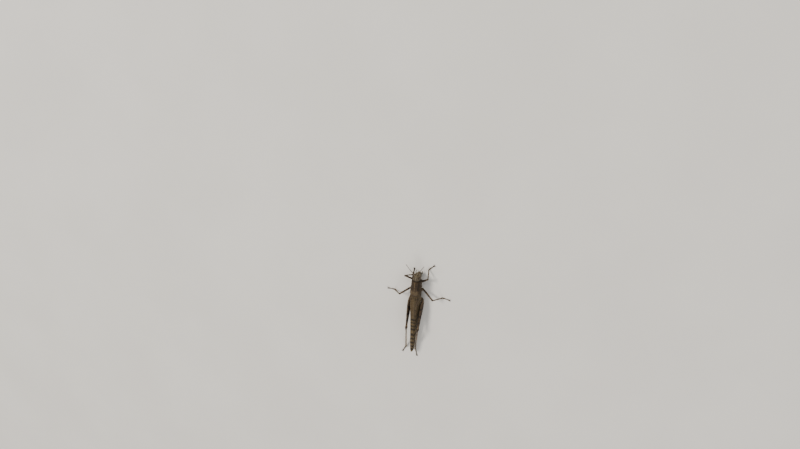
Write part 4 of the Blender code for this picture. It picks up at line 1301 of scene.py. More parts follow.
# Place along the wing, height of its ridge, half breadth, height of its lower edge, and how far
# its sections lean back with height and sweep back towards the middle.
WING_START = WING_BASE - 2.2
WING_STATIONS = (
    (WING_START, WING_RIDGE - 0.35, 3.15, 5.2, 0.32, 0.32),
    (WING_BASE, WING_RIDGE - 0.1, 3.35, 5.2, 0.32, 0.32),
    (-11, WING_RIDGE, 3.45, 5, 0.18, 0.15),
    (-6, WING_RIDGE - 0.45, 3.1, 4.6, 0.05, 0),
    (0, WING_RIDGE - 1, 2.7, 4, 0, 0),
    (6, WING_RIDGE - 1.55, 2.4, 3.7, 0, 0),
    (12, WING_RIDGE - 2.1, 2.1, 3.5, 0, 0),
    (18, WING_RIDGE - 2.65, 1.85, 3.3, 0, 0),
    (24, WING_RIDGE - 3.2, 1.6, 3.15, 0, 0),
    (28.5, WING_RIDGE - 3.65, 1.4, 3.1, 0, 0),
    (31.2, WING_RIDGE - 4.15, 1.15, 3.35, 0, 0),
    (WING_TIP, WING_RIDGE - 4.85, 0.85, 3.95, 0, 0),
)
TIP_ROUND = 3.6  # length over which the wing rounds off to its tip
WING_ROWS = 380
WING_COLUMNS = 56
FOREWING_THICKNESS = 0.14
UNDER_GAP = 0.36  # how far the right wing lies below the left one

# Each long vein: its stations, as (share along the wing, share across it from the inner edge).
LONG_VEINS = (
    ((0, 0.14), (0.3, 0.1), (0.52, 0.03), (0.56, 0)),
    ((0, 0.23), (0.3, 0.2), (0.55, 0.12), (0.74, 0)),
    ((0, 0.32), (0.3, 0.31), (0.6, 0.23), (0.9, 0)),
    ((0, 0.39), (0.3, 0.4), (0.6, 0.34), (0.85, 0.16), (0.97, 0.06)),
    ((0.1, 0.43), (0.35, 0.455), (0.6, 0.41), (0.85, 0.27), (1, 0.18)),
    ((0, 0.46), (0.3, 0.51), (0.6, 0.48), (0.85, 0.38), (1, 0.3)),
    ((0.42, 0.535), (0.65, 0.545), (0.85, 0.48), (1, 0.42)),
    ((0, 0.54), (0.3, 0.58), (0.6, 0.6), (0.85, 0.58), (1, 0.54)),
    ((0.34, 0.63), (0.6, 0.66), (0.85, 0.67), (1, 0.66)),
    ((0, 0.62), (0.3, 0.68), (0.6, 0.73), (0.85, 0.77), (1, 0.8)),
    ((0, 0.72), (0.3, 0.79), (0.6, 0.86), (0.82, 0.96), (0.86, 1)),
    ((0.03, 0.84), (0.25, 0.9), (0.5, 0.97), (0.58, 1)),
)
STOUT_VEINS = (4, 6, 8, 10)  # numbers of the thickest ones, where the inner margin is 0
VEIN_STEPS = 400
NET_START = 0.012  # shares along the wing where the cross-veins start and end
NET_END = 0.962
NARROW_CELL = 0.022  # share across, below which no cross-vein is laid
MARGIN_END = 0.992  # where the wing's margins stop, and the veins between them
VEIN_END = 0.972

# Broken crossbands, faint at the shoulders and bold towards the tips: place, width, strength.
WING_BANDS = (
    (-12.6, 1.1, 0.55),
    (-8.2, 0.9, 0.35),
    (-4, 1, 0.45),
    (0.6, 1, 0.6),
    (4.3, 0.85, 0.9),
    (6.8, 0.75, 0.85),
    (9.6, 0.8, 0.8),
    (12.4, 0.95, 0.95),
    (17, 0.95, 1),
    (20.4, 0.85, 0.95),
    (23.9, 0.95, 0.95),
    (27, 0.85, 0.8),
    (29.9, 0.95, 0.85),
)
LUCK_TABLE = (40, 200)  # random darkness of cells: strips across the wing, blocks along it
CELLS_IN_BLOCK = 11
BLUR = (1, 2, 3, 2, 1)


def wing_rows(count):
    """Places along a wing, closer together towards its rounded tip."""
    share = np.linspace(0, 1, count)
    return WING_START + (WING_TIP - WING_START) * np.sin(share * math.pi / 2 * 0.9999) ** 0.92


def tip_rounding(ys):
    """1 along the wing, falling in a quarter circle to 0 at its very tip."""
    past = np.clip(ys - (WING_TIP - TIP_ROUND), 0, TIP_ROUND) / TIP_ROUND
    return np.sqrt(np.clip(1 - past**2, 0, 1))


def forewing_skin(side, ys):
    """The outer face of a folded forewing, from its inner edge over the back and down the side."""
    ridge, half, low, lean, sweep = (column[:, None] for column in flowing(WING_STATIONS, ys))
    rounding = tip_rounding(ys)[:, None]
    fade = 0.12 + 0.88 * rounding
    height = (ridge - low) * fade
    half = half * (0.45 + 0.55 * rounding)
    overlap = np.minimum(WING_OVERLAP, half * 0.34)
    under = 0 if side > 0 else UNDER_GAP
    sunk = under * (1 - rounding)
    inner = -overlap if side > 0 else -overlap * 0.8
    guides = (
        (inner, 0.22 * fade + under),
        (0 * half, 0.03 * fade + under),
        (overlap, 0.24 * fade + np.maximum(under * 0.9, sunk)),
        (half * 0.6, 0.17 * height + np.maximum(under * 0.2, sunk)),
        (half * 0.82, 0.4 * height + sunk),
        (half * 0.94, 0.7 * height + sunk),
        (half, height + sunk),
    )
    weights = bend_through(len(guides), WING_COLUMNS)
    x, drop = (np.hstack([guide[i] for guide in guides]) @ weights.T for i in range(2))
    return triple(side * x, ys[:, None] - lean * drop - sweep * np.abs(x), ridge - drop)


def vein_net(seed):
    """Where the long veins run, and the cross-veins between each neighbouring two of them."""
    chance = np.random.default_rng(seed)
    share = np.linspace(0, 1, VEIN_STEPS)
    lines = [np.zeros_like(share)]
    for stations in LONG_VEINS:
        line = flowing(stations, share)[0]
        line[(share < stations[0][0]) | (share > stations[-1][0])] = np.nan
        lines.append(line)
    lines.append(np.ones_like(share))
    crossings = []
    at = NET_START
    while at < NET_END:
        row = int(at * (VEIN_STEPS - 1))
        here = sorted(float(np.interp(at, share, line)) for line in lines if not np.isnan(line[row]))
        pitch = float(lerp(0.018, 0.0105, smooth(at, 0.1, 0.8)))
        for low, high in zip(here, here[1:]):
            if high - low > NARROW_CELL:
                starts = float(np.clip(at + chance.uniform(-0.75, 0.75) * pitch, 0.004, 0.965))
                ends = float(np.clip(starts + chance.normal(0, 0.22) * pitch, 0.004, 0.967))
                crossings.append((starts, ends, low, high))
        at += pitch * chance.uniform(0.8, 1.2)
    return share, lines, crossings


def band_strength(y):
    """How dark the broken crossbands are at y."""
    return np.clip(sum(strength * bell(y, centre, width) for centre, width, strength in WING_BANDS), 0, 1)


def cell_tones(ys, net, seed):
    """How dark each cell between veins is, at every point of the wing."""
    share, lines, crossings = net
    strips, blocks = LUCK_TABLE
    luck_table = np.random.default_rng(seed).uniform(0, 1, size=LUCK_TABLE)
    across = np.linspace(0, 1, WING_COLUMNS)
    crossed = np.sort([crossing[0] for crossing in crossings])
    tone = np.zeros((len(ys), WING_COLUMNS))
    for row, at in enumerate((ys - ys[0]) / (ys[-1] - ys[0])):
        k = int(np.clip(at, 0, 1) * (len(share) - 1))
        here = np.array(sorted(line[k] for line in lines if not np.isnan(line[k])))
        gap = np.clip(np.searchsorted(here, across, side="right") - 1, 0, len(here) - 2)
        middle = (here[gap] + here[gap + 1]) / 2
        strip = np.clip((middle * strips).astype(int), 0, strips - 1)
        block = np.searchsorted(crossed, at + 0.01 * np.sin(middle * 40)) // CELLS_IN_BLOCK
        luck = luck_table[strip, block % blocks]
        strength = band_strength(ys[row] + 0.55 * np.sin(middle * 9))
        tone[row] = np.clip(strength * (0.72 + 0.5 * luck) + 0.3 * (luck > 0.88), 0, 1)
    padded = np.pad(tone, ((len(BLUR) // 2, len(BLUR) // 2), (0, 0)), mode="edge")
    return sum(weight / sum(BLUR) * padded[k : k + len(ys)] for k, weight in enumerate(BLUR))


def forewing_marks(skin, ys, tone, seed):
    """Dark cells and bands, and the paler dusty ground between them."""
    across = np.linspace(0, 1, WING_COLUMNS)
    along = ys[:, None]
    back = strongest(
        (1 - smooth(across, 0.3, 0.44)) * window(along, -12.5, 12, 2.5) * 0.42,
        0.5 * bell(across, 0.9, 0.06) * (1 - smooth(along, -2, 4)),
        (0.8 + 0.12 * smooth(along, 12, 26)) * (1 - band_strength(along)) * smooth(along, 1, 6),
    )
    streak = bell(across, 0.5, 0.08) * window(along, -16, -8.5, 2.2)
    dark = strongest(
        tone * (1 - 0.65 * (1 - smooth(across, 0.28, 0.42)) * window(along, -12, 2, 2)),
        streak * (0.62 + 0.3 * ripple(skin, 0.9, 70 + seed)),
    )
    return triple(dark, back, 0)


def on_skin(skin, along, across):
    """Points of a skin at shares along and across it."""
    rows, columns = skin.shape[:2]
    r = np.clip(np.asarray(along) * (rows - 1), 0, rows - 1.001)
    c = np.clip(np.asarray(across) * (columns - 1), 0, columns - 1.001)
    i, j = r.astype(int), c.astype(int)
    u, v = (r - i)[:, None], (c - j)[:, None]
    near = skin[i, j] * (1 - v) + skin[i, j + 1] * v
    far = skin[i + 1, j] * (1 - v) + skin[i + 1, j + 1] * v
    return near * (1 - u) + far * u


def vein_guide(skin, stain, net, width):
    """Guide lines for the raised veins and the rungs between them, stained as the skin below is."""
    share, lines, crossings = net
    ys = wing_rows(WING_ROWS)
    place = (ys - ys[0]) / (ys[-1] - ys[0])
    runs = []
    for number, line in enumerate(lines):
        margin = number in (0, len(lines) - 1)
        real = ~np.isnan(line) & (share < (MARGIN_END if margin else VEIN_END))
        along = share[real][::2]
        taper = lerp(1.25, 0.55, along) * np.sqrt(np.clip((0.975 - along) / 0.05, 0.04, 1))
        stout = 0.9 if margin else 1.35 if number in STOUT_VEINS else 1
        runs.append((along, line[real][::2], width / 2 * taper * stout))
    for starts, ends, low, high in crossings:
        runs.append((np.linspace(starts, ends, 3), np.linspace(low, high, 3), np.full(3, width / 2 * 0.45)))
    points, links, girths, stains = [], [], [], []
    count = 0
    for along, across, girth in runs:
        rows = np.interp(along, place, np.linspace(0, 1, len(place)))
        points.append(on_skin(skin, rows, across))
        stains.append(on_skin(stain, rows, across))
        girths.append(girth)
        links += steps_between(count, len(along))
        count += len(along)
    mesh = line_mesh("vein lines", np.vstack(points), links)
    write_vectors(mesh, "stain", np.vstack(stains))
    layer = mesh.attributes.new("girth", "FLOAT", "POINT")
    layer.data.foreach_set("value", np.concatenate(girths).astype(np.float32))
    return mesh


def build_forewings(sizes):
    """Both forewings, laid roof-like over the body: the left one over the right one."""
    tree = vein_tree()
    ys = wing_rows(WING_ROWS)
    across = np.linspace(0, 1, WING_COLUMNS)
    tip = tip_rounding(ys)[:, None]
    for seed, (word, side) in enumerate(SIDES.items(), start=5):
        net = vein_net(seed)
        skin = forewing_skin(side, ys)
        stain = forewing_marks(skin, ys, cell_tones(ys, net, seed), seed)
        fold = bell(across, 0.455, 0.03) * (1 - smooth(ys, 10, 26))[:, None]
        relief = 0.03 * ripple(skin, 1.6, 50 + seed) + 0.05 * fold
        skin = swell(skin, relief * tip, closed=False)
        wing = Shape().add_sheet(skin, FOREWING_THICKNESS * lerp(0.3, 1, tip), stain)
        wing.make("forewing_" + word, ["Forewing skin"], "forewing", ["tegmen_" + word])
        guide = vein_guide(skin, stain, net, sizes.vein_width)
        grow("forewing_veins_" + word, tree, guide, "Forewing veins", "forewing", Sides=6)


# Place along the body, height and half breadth.
HINDWING_STATIONS = (
    (HINDWING_BASE - 6, 7.35, 1.55),
    (HINDWING_BASE, 6.98, 1.5),
    (8, 6.42, 1.35),
    (14, 5.78, 1.15),
    (ABDOMEN_END, 5.4, 1),
    (24, 5.15, 0.72),
    (HINDWING_TIP - 0.6, 4.6, 0.52),
    (HINDWING_TIP, 4.35, 0.25),
)
HINDWING_THICKNESS = 0.1
PLEATS = 7


def build_hindwings():
    """Pleated hindwings, folded like a fan between the forewings and the abdomen."""
    ys = np.linspace(HINDWING_BASE, HINDWING_TIP, 200)
    top, half = (column[:, None] for column in flowing(HINDWING_STATIONS, ys))
    share = np.linspace(0, 1, 60)
    drop = np.interp(share, (0, 0.35, 0.55, 0.8, 1), (0, 0.12, 0.1, 0.34, 0.6))
    z = top - drop * half / 1.5 + 0.07 * np.sin(share * TAU * PLEATS) * (half / 1.5)
    for word, side in SIDES.items():
        wing = Shape().add_sheet(triple(side * lerp(0.22, half, share), ys[:, None], z), HINDWING_THICKNESS)
        wing.make("hindwing_fan_" + word, ["Hindwing skin"], "hindwing", ["hindwing_" + word])


# ---- legs

UP = np.array([0, 0, 1])


def heading(bearing, side):
    """A level direction `bearing` degrees outwards from straight ahead."""
    turn = math.radians(bearing)
    return np.array([side * math.sin(turn), -math.cos(turn), 0])


def reach(start, bearing, side, length, height):
    """The point at this height, `length` away from `start` along the bearing."""
    fall = height - start[2]
    return start + heading(bearing, side) * math.sqrt(length**2 - fall**2) + UP * fall


def leg_joints(pair, word):
    """Where a leg's root, hip, knee and ankle are."""
    side = SIDES[word]
    stance = STANCE[pair, word]
    flip = np.array([side, 1, 1])
    root, hip = np.array(COXA_ROOT[pair]) * flip, np.array(HIP[pair]) * flip
    knee = reach(hip, stance["femur"], side, FEMUR_LENGTH[pair], stance["knee"])
    ankle = reach(knee, stance["tibia"], side, TIBIA_LENGTH[pair], ANKLE_HEIGHT)
    return root, hip, knee, ankle


def limb(start, end, girths, radius, rows, columns, flat=1):
    """A straight limb, the share of its length at each row and the turn at each column."""
    share = np.linspace(girths[0][0], girths[-1][0], rows)
    girth = flowing(girths, share)[0] * radius
    share = share[:, None]
    return limb_grid(start + (end - start) * share, girth * flat, girth, columns), share, full_turn(columns)


# For each part of a leg: share of its length, and share of its radius there.
COXA_GIRTH = (
    (-0.15, 0.8), (0, 0.95), (0.35, 1), (0.58, 0.93), (0.66, 0.74), (0.74, 0.86), (0.92, 0.68), (1, 0.28)
)
THIGH_GIRTH = (
    (-0.02, 0.5), (0.08, 0.85), (0.3, 1), (0.65, 0.9), (0.86, 0.8), (0.95, 0.88), (1, 0.8), (1.03, 0.45)
)
SHIN_GIRTH = (
    (-0.006, 0.55),
    (0.006, 0.95),
    (0.03, 1.14),
    (0.055, 1),
    (0.075, 0.84),
    (0.12, 0.88),
    (0.5, 0.86),
    (0.9, 0.96),
    (0.975, 1.18),
    (0.99, 1.1),
    (1, 0.75),
)
# Share of the hind thigh's length, and shares of its depth and of its breadth there.
HIND_THIGH_STATIONS = (
    (0, 0.3, 0.45),
    (0.05, 0.62, 0.82),
    (0.14, 0.9, 0.98),
    (0.27, 1, 1),
    (0.45, 0.86, 0.92),
    (0.62, 0.62, 0.78),
    (0.78, 0.44, 0.64),
    (0.88, 0.39, 0.6),
    (0.945, 0.47, 0.72),
    (0.985, 0.44, 0.66),
    (1.005, 0.34, 0.5),
    (1.015, 0.18, 0.3),
)
LADDER_RIDGES = 27
THIGH_BANDS = (0.3, 0.6)
HIND_THIGH_BARS = (0.27, 0.5, 0.72)
COXA_PAST_HIP = 0.45


def coxa_shape(root, hip, radius):
    """Hip joint and the small ring that ties it to the thigh."""
    aim = (hip - root) / np.linalg.norm(hip - root)
    grid, t, _ = limb(root, hip + aim * COXA_PAST_HIP, COXA_GIRTH, radius, 60, 44)
    seam = bell(t, 0.66, 0.045)
    grid = swell(grid, 0.04 * ripple(grid, 0.7, 61) - 0.03 * seam)
    # The seam is marked dark and, through the third layer, also given painted shade.
    return grid, triple(seam * 0.6, 0.5 * (1 - seam), seam)


def slim_thigh(hip, knee, radius):
    """A fore or middle thigh: fluted, banded and swollen at the knee."""
    grid, t, turns = limb(hip, knee, THIGH_GIRTH, radius, 110, 48, flat=0.88)
    shaft = window(t, 0.12, 0.88, 0.06)
    knee_lobes = bell(t, 0.96, 0.03) * np.abs(np.cos(turns))
    relief = 0.045 * np.cos(turns * 4) * shaft + 0.05 * knee_lobes + 0.02 * ripple(grid, 0.5, 62)
    bands = sum(bell(t, place, 0.06) for place in THIGH_BANDS) + bell(t, 0.97, 0.05)
    dark = bands * (0.55 + 0.4 * np.sin(turns))
    pale = 0.45 * (1 - np.clip(bands, 0, 1)) * (0.6 - 0.4 * np.sin(turns)) + 0.4 * bell(t, 0.9, 0.03)
    # `ridge` marks the grooves between the flutes, where the relief sinks; the finish darkens them as
    # painted shade.
    ridge = np.clip(-np.cos(turns * 4), 0, 1) * shaft
    return swell(grid, relief), triple(dark, pale, ridge * 0.8)


def jumping_thigh(hip, knee, side):
    """The hind thigh: keeled above and below, with a ladder of slanting ridges on each face."""
    t = np.linspace(0, HIND_THIGH_STATIONS[-1][0], 300)
    depth, breadth = flowing(HIND_THIGH_STATIONS, t)
    size = (HIND_FEMUR_BREADTH / 2 * breadth, HIND_FEMUR_DEPTH / 2 * depth)
    turns = full_turn(96)
    t = t[:, None]
    grid = limb_grid(hip + (knee - hip) * t, *size, 96, fullness=1.9)
    rise = np.sin(turns)
    outer = np.cos(turns) * side > 0
    shaft = window(t, 0.07, 0.86, 0.03)
    keels = bell(rise, 1, 0.035) + 0.8 * bell(rise, -1, 0.035)
    rails = bell(rise, 0.66, 0.07) + bell(rise, -0.6, 0.07)
    face = window(rise, -0.52, 0.58, 0.06) * shaft
    ladder = np.sin(TAU * (t * LADDER_RIDGES - np.abs(rise - 0.03) * 1.9))
    ladder = np.clip(ladder, -0.35, 1) * face * np.where(outer, 1, 0.6)
    lobes = window(t, 0.915, 0.99, 0.012) * bell(np.abs(rise), 0.25, 0.42)
    crescent = bell(np.hypot((t - 0.955) / 0.028, rise / 0.75), 1, 0.22)
    relief = 0.11 * keels * shaft + 0.075 * rails * shaft + 0.055 * ladder + 0.1 * lobes - 0.08 * crescent
    relief += 0.03 * ripple(grid, 1.2, 63)
    top = smooth(rise, 0.5, 0.68)
    uneven = t + 0.016 * ripple(grid, 1.5, 66)
    bars = np.clip(sum(bell(uneven, place, 0.05) for place in HIND_THIGH_BARS), 0, 1)
    inner_face = (1 - outer) * window(rise + 0.06 * ripple(grid, 0.8, 67), -0.5, 0.86, 0.05)
    dark = strongest(
        0.95 * bars * smooth(rise, -0.1, 0.6),
        0.9 * smooth(t, 0.915, 0.94) * (lobes * 0.4 + 0.6),
        0.46 * top * shaft,
        0.8 * window(rise, -0.05, 0.62, 0.12) * shaft * outer,
        0.85 * inner_face * window(t, 0.05, 0.82, 0.05),
    )
    pale = strongest(
        0.7 * bell(rise, -0.62, 0.12) * shaft + 0.6 * bell(t, 0.895, 0.018),
        0.34 * top * shaft * outer * (1 - bars),
        0.56 * smooth(ladder, 0.4, 0.9) * outer,
    )
    pale *= 1 - 0.75 * bars * smooth(rise, 0.1, 0.6)
    # The ladder's furrows and the knee crescent, darkened by the finish as painted shade.
    furrow = np.clip(-ladder * 2.6, 0, 1) + crescent * 0.8
    return swell(grid, relief), triple(dark, pale, np.clip(furrow, 0, 1))


def shin(knee, ankle, radius, hind):
    """A shin with its knuckle, a pale ring below the knee and a flared end."""
    grid, t, turns = limb(knee, ankle, SHIN_GIRTH, radius, 240 if hind else 110, 40, flat=0.95)
    trough = bell(np.sin(turns), 1, 0.1) * window(t, 0.12, 0.93, 0.03)
    flutes = np.cos(turns * 5) * window(t, 0.1, 0.94, 0.03)
    relief = -0.06 * trough + 0.035 * flutes + 0.015 * ripple(grid, 0.6, 64)
    middle_band = 0 if hind else 0.35 * bell(t, 0.55, 0.06)
    dark = strongest(
        bell(t, 0.035, 0.022), 0.85 * smooth(t, 0.94, 0.99), 0.6 * bell(t, 0.19, 0.035) + middle_band
    )
    pale = strongest(0.95 * bell(t, 0.105, 0.03), 0.35 * window(t, 0.3, 0.9, 0.1))
    # The third layer gives the back trough painted shade.
    return swell(grid, relief), triple(dark, pale, trough * 0.7)


# The three joints of a foot 4.6 mm long: place along it, half breadth, height of the underside
# and of the top.
FOOT_JOINTS = (
    (
        (-0.36, 0.05, 0.3, 0.42),
        (-0.28, 0.26, 0.1, 0.64),
        (0, 0.36, 0, 0.7),
        (0.5, 0.4, 0, 0.62),
        (1, 0.42, 0, 0.52),
        (1.42, 0.38, 0.02, 0.46),
        (1.54, 0.2, 0.12, 0.4),
        (1.57, 0.05, 0.2, 0.32),
    ),
    (
        (1.5, 0.05, 0.24, 0.34),
        (1.54, 0.28, 0.06, 0.48),
        (1.8, 0.4, 0, 0.5),
        (2.02, 0.37, 0, 0.45),
        (2.12, 0.26, 0.06, 0.4),
        (2.18, 0.05, 0.2, 0.32),
    ),
    (
        (2.14, 0.05, 0.26, 0.34),
        (2.2, 0.22, 0.12, 0.44),
        (2.9, 0.24, 0.13, 0.47),
        (3.7, 0.3, 0.12, 0.55),
        (4.2, 0.36, 0.12, 0.6),
        (4.48, 0.3, 0.18, 0.54),
        (4.6, 0.05, 0.32, 0.42),
    ),
)
FOOT_FULLNESS = 2.4
SOLE_PADS = (0.3, 0.92)  # where the first joint's sole is creased
# Ahead, across and up, from the end of the foot.
CLAW_ROUTE = ((-0.25, 0.14, 0.38), (0.18, 0.32, 0.46), (0.52, 0.5, 0.34), (0.72, 0.56, 0.08))


def foot_joint(ground, ahead, across, stations):
    """One joint of a foot, flat below, from its stations."""
    table = np.asarray(stations, float)
    run = travelled(table[:, :2])
    at = np.linspace(0, run[-1], 60)
    place, half, low, high = (column[:, None] for column in flowing(np.column_stack([run, table]), at))
    turns = even_turns(FOOT_FULLNESS, 40)
    wide = spow(np.cos(turns), 2 / FOOT_FULLNESS) * half
    lift = spow(np.sin(turns), 2 / FOOT_FULLNESS)
    middle = lerp(low, high, 0.42)
    tall = middle + lift * np.where(lift > 0, high - middle, middle - low)
    return ground + ahead * place[..., None] + across * wide[..., None] + UP * tall[..., None]


def build_foot(pair, word):
    """Three joints with creased soles, a pad between the claws, and two hooked claws."""
    ankle = leg_joints(pair, word)[-1]
    ground = ankle * (1, 1, 0)
    ahead = heading(STANCE[pair, word]["tarsus"], SIDES[word])
    across = np.array([-ahead[1], ahead[0], 0])
    length = TARSUS_LENGTH[pair]
    scale = length / FOOT_JOINTS[-1][-1][0]
    foot = Shape()
    for number, joint in enumerate(FOOT_JOINTS):
        stations = [(place * scale, wide, low, high) for place, wide, low, high in joint]
        grid = foot_joint(ground, ahead, across, stations)
        along = (grid - ankle) @ ahead / scale
        soles = smooth(0.22 - grid[..., 2], 0, 0.16)
        pads = sum(bell(along, place, 0.05) for place in SOLE_PADS) * (number == 0)
        grid = grid + 0.1 * UP * (pads * soles)[..., None]
        dark = 0.5 * bell(along, joint[0][0] + 0.12, 0.08)
        dark += (0.3 + 0.45 * smooth(along, 3.4, 4.4)) * (number == 2)
        # The third layer gives the creases of the sole painted shade.
        foot.add(grid, triple(dark, 0.6 * soles, np.clip(pads * soles, 0, 1)))
    toe = ground + ahead * length
    for turn in (-1, 1):
        route = curve_through([toe + ahead * a + across * turn * b + UP * c for a, b, c in CLAW_ROUTE], 36)
        share = np.linspace(0, 1, len(route))
        girth = 0.17 * (1 - share) ** 0.6 + 0.012
        tips = smooth(share, 0.05, 0.5)[:, None]
        foot.add(limb_grid(route, girth * 0.85, girth, 18), triple(tips, 0.6 * (1 - tips), 0))
    foot.add(blob(ankle - 0.14 * UP, (0.27, 0.27, 0.34), 16, 24), slot=1)
    pad = blob((0, 0, 0), (0.22, 0.34, 0.17), 16, 24)
    foot.add(toe + ahead * 0.14 + 0.2 * UP + pad @ np.array([across, ahead, UP]), slot=1)
    suffix = pair + "_" + word
    foot.make("foot_" + suffix, ["Foot shell", "Soft skin"], "foot", ["tarsus_" + suffix])


SPURS = ((0.25, 1.35), (-0.35, 1.1))  # at each side of the ankle: how far one leans back, its length
SHORT_LEG = 0.45  # size of a fore or middle leg's thorns, as a share of a hind one's
SPUR_CLEARANCE = 0.15


def shin_thorns(pair, word, sizes):
    """Guide points for a shin's thorns: two rows along its back and the spurs at its end."""
    _, _, knee, ankle = leg_joints(pair, word)
    hind = pair == "hind"
    length = np.linalg.norm(ankle - knee)
    axis = (ankle - knee) / length
    across = np.cross(axis, UP)
    across /= np.linalg.norm(across)
    back = np.cross(across, axis)
    radius = TIBIA_RADIUS[pair]
    thorn = sizes.thorn_length / MM * (1 if hind else SHORT_LEG)
    facing, spread = (back * 0.55, 0.62) if hind else (-back * 0.75, 0.62 * 0.8)
    thorns = []  # root, aim, length and girth of each
    rows = ((1, 9 if hind else 5), (-1, 10 if hind else 5))  # outwards or inwards, and how many
    for outwards, count in rows:
        lateral = across * outwards * SIDES[word]
        for share in np.linspace(0.3, 0.95, count):
            root = knee + axis * length * share + (lateral * 0.75 + facing) * radius * 0.85
            aim = lateral * 0.62 + facing / 0.55 * spread + axis * 0.55
            thorns.append((root, aim, thorn * (0.85 + 0.25 * share), 0.115 if hind else 0.06))
    for lateral in (across, -across):
        for lean, spur in SPURS:
            size = spur * (1 if hind else SHORT_LEG)
            root = knee + axis * (length - 0.25) + lateral * radius * 0.7
            aim = lateral * 0.55 + back * lean * 0.6 + axis * 0.8
            aim /= np.linalg.norm(aim)
            aim[2] += max(0, SPUR_CLEARANCE - root[2] - aim[2] * size) / size
            thorns.append((root, aim, size, 0.12 if hind else 0.06))
    places, aims, lengths, girths = zip(*thorns)
    mesh = line_mesh("thorn places", places)
    write_vectors(mesh, "aim", aims)
    write_vectors(mesh, "size", np.column_stack([girths, girths, lengths]) * MM)
    return mesh


def build_leg(pair, word, sizes, tree):
    """One leg from hip to claws, with its thorns."""
    suffix = pair + "_" + word
    hind = pair == "hind"
    root, hip, knee, ankle = leg_joints(pair, word)
    shell = "Hind shin shell" if hind else "Shin shell"
    thigh = jumping_thigh(hip, knee, SIDES[word]) if hind else slim_thigh(hip, knee, FEMUR_RADIUS[pair])
    parts = (
        ("hip_", coxa_shape(root, hip, COXA_RADIUS[pair]), "Body shell", "cuticle", "coxa_"),
        ("thigh_", thigh, "Thigh shell", "thigh", "femur_"),
        ("shin_", shin(knee, ankle, TIBIA_RADIUS[pair], hind), shell, "shin", "tibia_"),
    )
    for name, (grid, stain), finish, slot, node in parts:
        Shape().add(grid, stain).make(name + suffix, [finish], slot, [node + suffix])
    values = {"Sides": 8 if hind else 6, "Rings": 5, "Tip_Share": 0.06, "Bend": 0.1}
    grow("thorns_" + suffix, tree, shin_thorns(pair, word, sizes), "Thorn horn", "shin", **values)
    build_foot(pair, word)


# ---- bristles

BRISTLE_LEAN = 0.9
STRIP_EDGE = 0.02  # margin of each piece's strip of the unwrap, as a share of the strip
BRISTLE_PATCH = (0.0015, 0.003)  # size of one bristle's own patch of the unwrap, across and along


def joined_skins(names):
    """One guide mesh of these pieces, each on its own strip of the unwrap that bristles use."""
    points, faces, lie, flow = [], [], [], []
    count = 0
    for number, name in enumerate(names):
        mesh = bpy.data.objects[name].data
        mesh.calc_loop_triangles()
        total = len(mesh.vertices)
        corners = np.empty(len(mesh.loop_triangles) * 3, np.int32)
        mesh.loop_triangles.foreach_get("vertices", corners)
        faces.append(corners.reshape(-1, 3) + count)
        points.append(read_vectors(mesh.vertices, "co", total))
        flow.append(read_vectors(mesh.attributes["flow"].data, "vector", total))
        place = read_vectors(mesh.attributes["lie"].data, "vector", total)
        place[:, 0] = (number + STRIP_EDGE + place[:, 0] * (1 - 2 * STRIP_EDGE)) / len(names)
        lie.append(place)
        count += total
    guide = bpy.data.meshes.new("bristle skins")
    guide.from_pydata(np.vstack(points).tolist(), [], np.vstack(faces).tolist())
    write_vectors(guide, "lie", np.vstack(lie))
    write_vectors(guide, "flow", np.vstack(flow))
    return guide


def unwrap_bristles(mesh):
    """Lays each bristle out on a small patch, at the place of its root on the skin's unwrap."""
    total = len(mesh.vertices)
    lie = read_vectors(mesh.attributes["lie"].data, "vector", total)
    strand = read_vectors(mesh.attributes["strand"].data, "vector", total)
    patch = np.column_stack([strand[:, 0], strand[:, 2] - 0.5]) * BRISTLE_PATCH
    places = np.clip(lie[:, :2] + patch, 0, 1)
    owner = np.empty(len(mesh.loops), np.int32)
    mesh.loops.foreach_get("vertex_index", owner)
    unwrap = mesh.uv_layers.new(name="OFBake")
    unwrap.data.foreach_set("uv", np.ascontiguousarray(places[owner], np.float32).ravel())


def build_bristles(name, skins, slot, sizes, density, length, seed):
    """A coat of bristles over these pieces, this many times as dense and as long as the setting."""
    values = {
        "Density": sizes.bristle_density * density / MM**2,
        "Length": sizes.bristle_length * length,
        "Radius": sizes.bristle_width / 2,
        "Lean": BRISTLE_LEAN,
        "Seed": seed,
    }
    tree = bpy.data.node_groups.get("Fine bristles") or bristle_tree()
    unwrap_bristles(grow(name, tree, joined_skins(skins), "Bristle", slot, **values).data)


# ---- stage

FLOOR_RADIUS = 4
FLOOR_SIDES = 96
FLOOR_DROP = 0.00002  # keeps the floor just clear of the soles
ROOM_COLOUR = (0.93, 0.95, 1, 1)
LAMP_TARGET = (0, 0, 0.005)
# Each lamp's place, size, share of the main light's power, and colour.
LAMPS = {
    "key light": ((1.15, -0.95, 1.7), 0.75, 1, (1, 0.96, 0.9)),
    "fill light": ((-1.5, -0.6, 1.2), 1.4, 0.22, (0.9, 0.95, 1)),
    "back light": ((-0.35, 1.6, 1.3), 1, 0.28, (1, 0.98, 0.95)),
}


def aimed(name, data, place, target, roll=0):
    """A camera or lamp that looks from its place at a target, rolled from upright."""
    ahead = (target - place).normalized()
    right = ahead.cross(Vector((0, 0, 1))).normalized()
    up = right.cross(ahead)
    up = up * math.cos(roll) + right * math.sin(roll)
    turn = Matrix((ahead.cross(up), up, -ahead)).transposed()
    obj = bpy.data.objects.new(name, data)
    obj.matrix_world = Matrix.Translation(place) @ turn.to_4x4()
    bpy.context.scene.collection.objects.link(obj)
    return obj


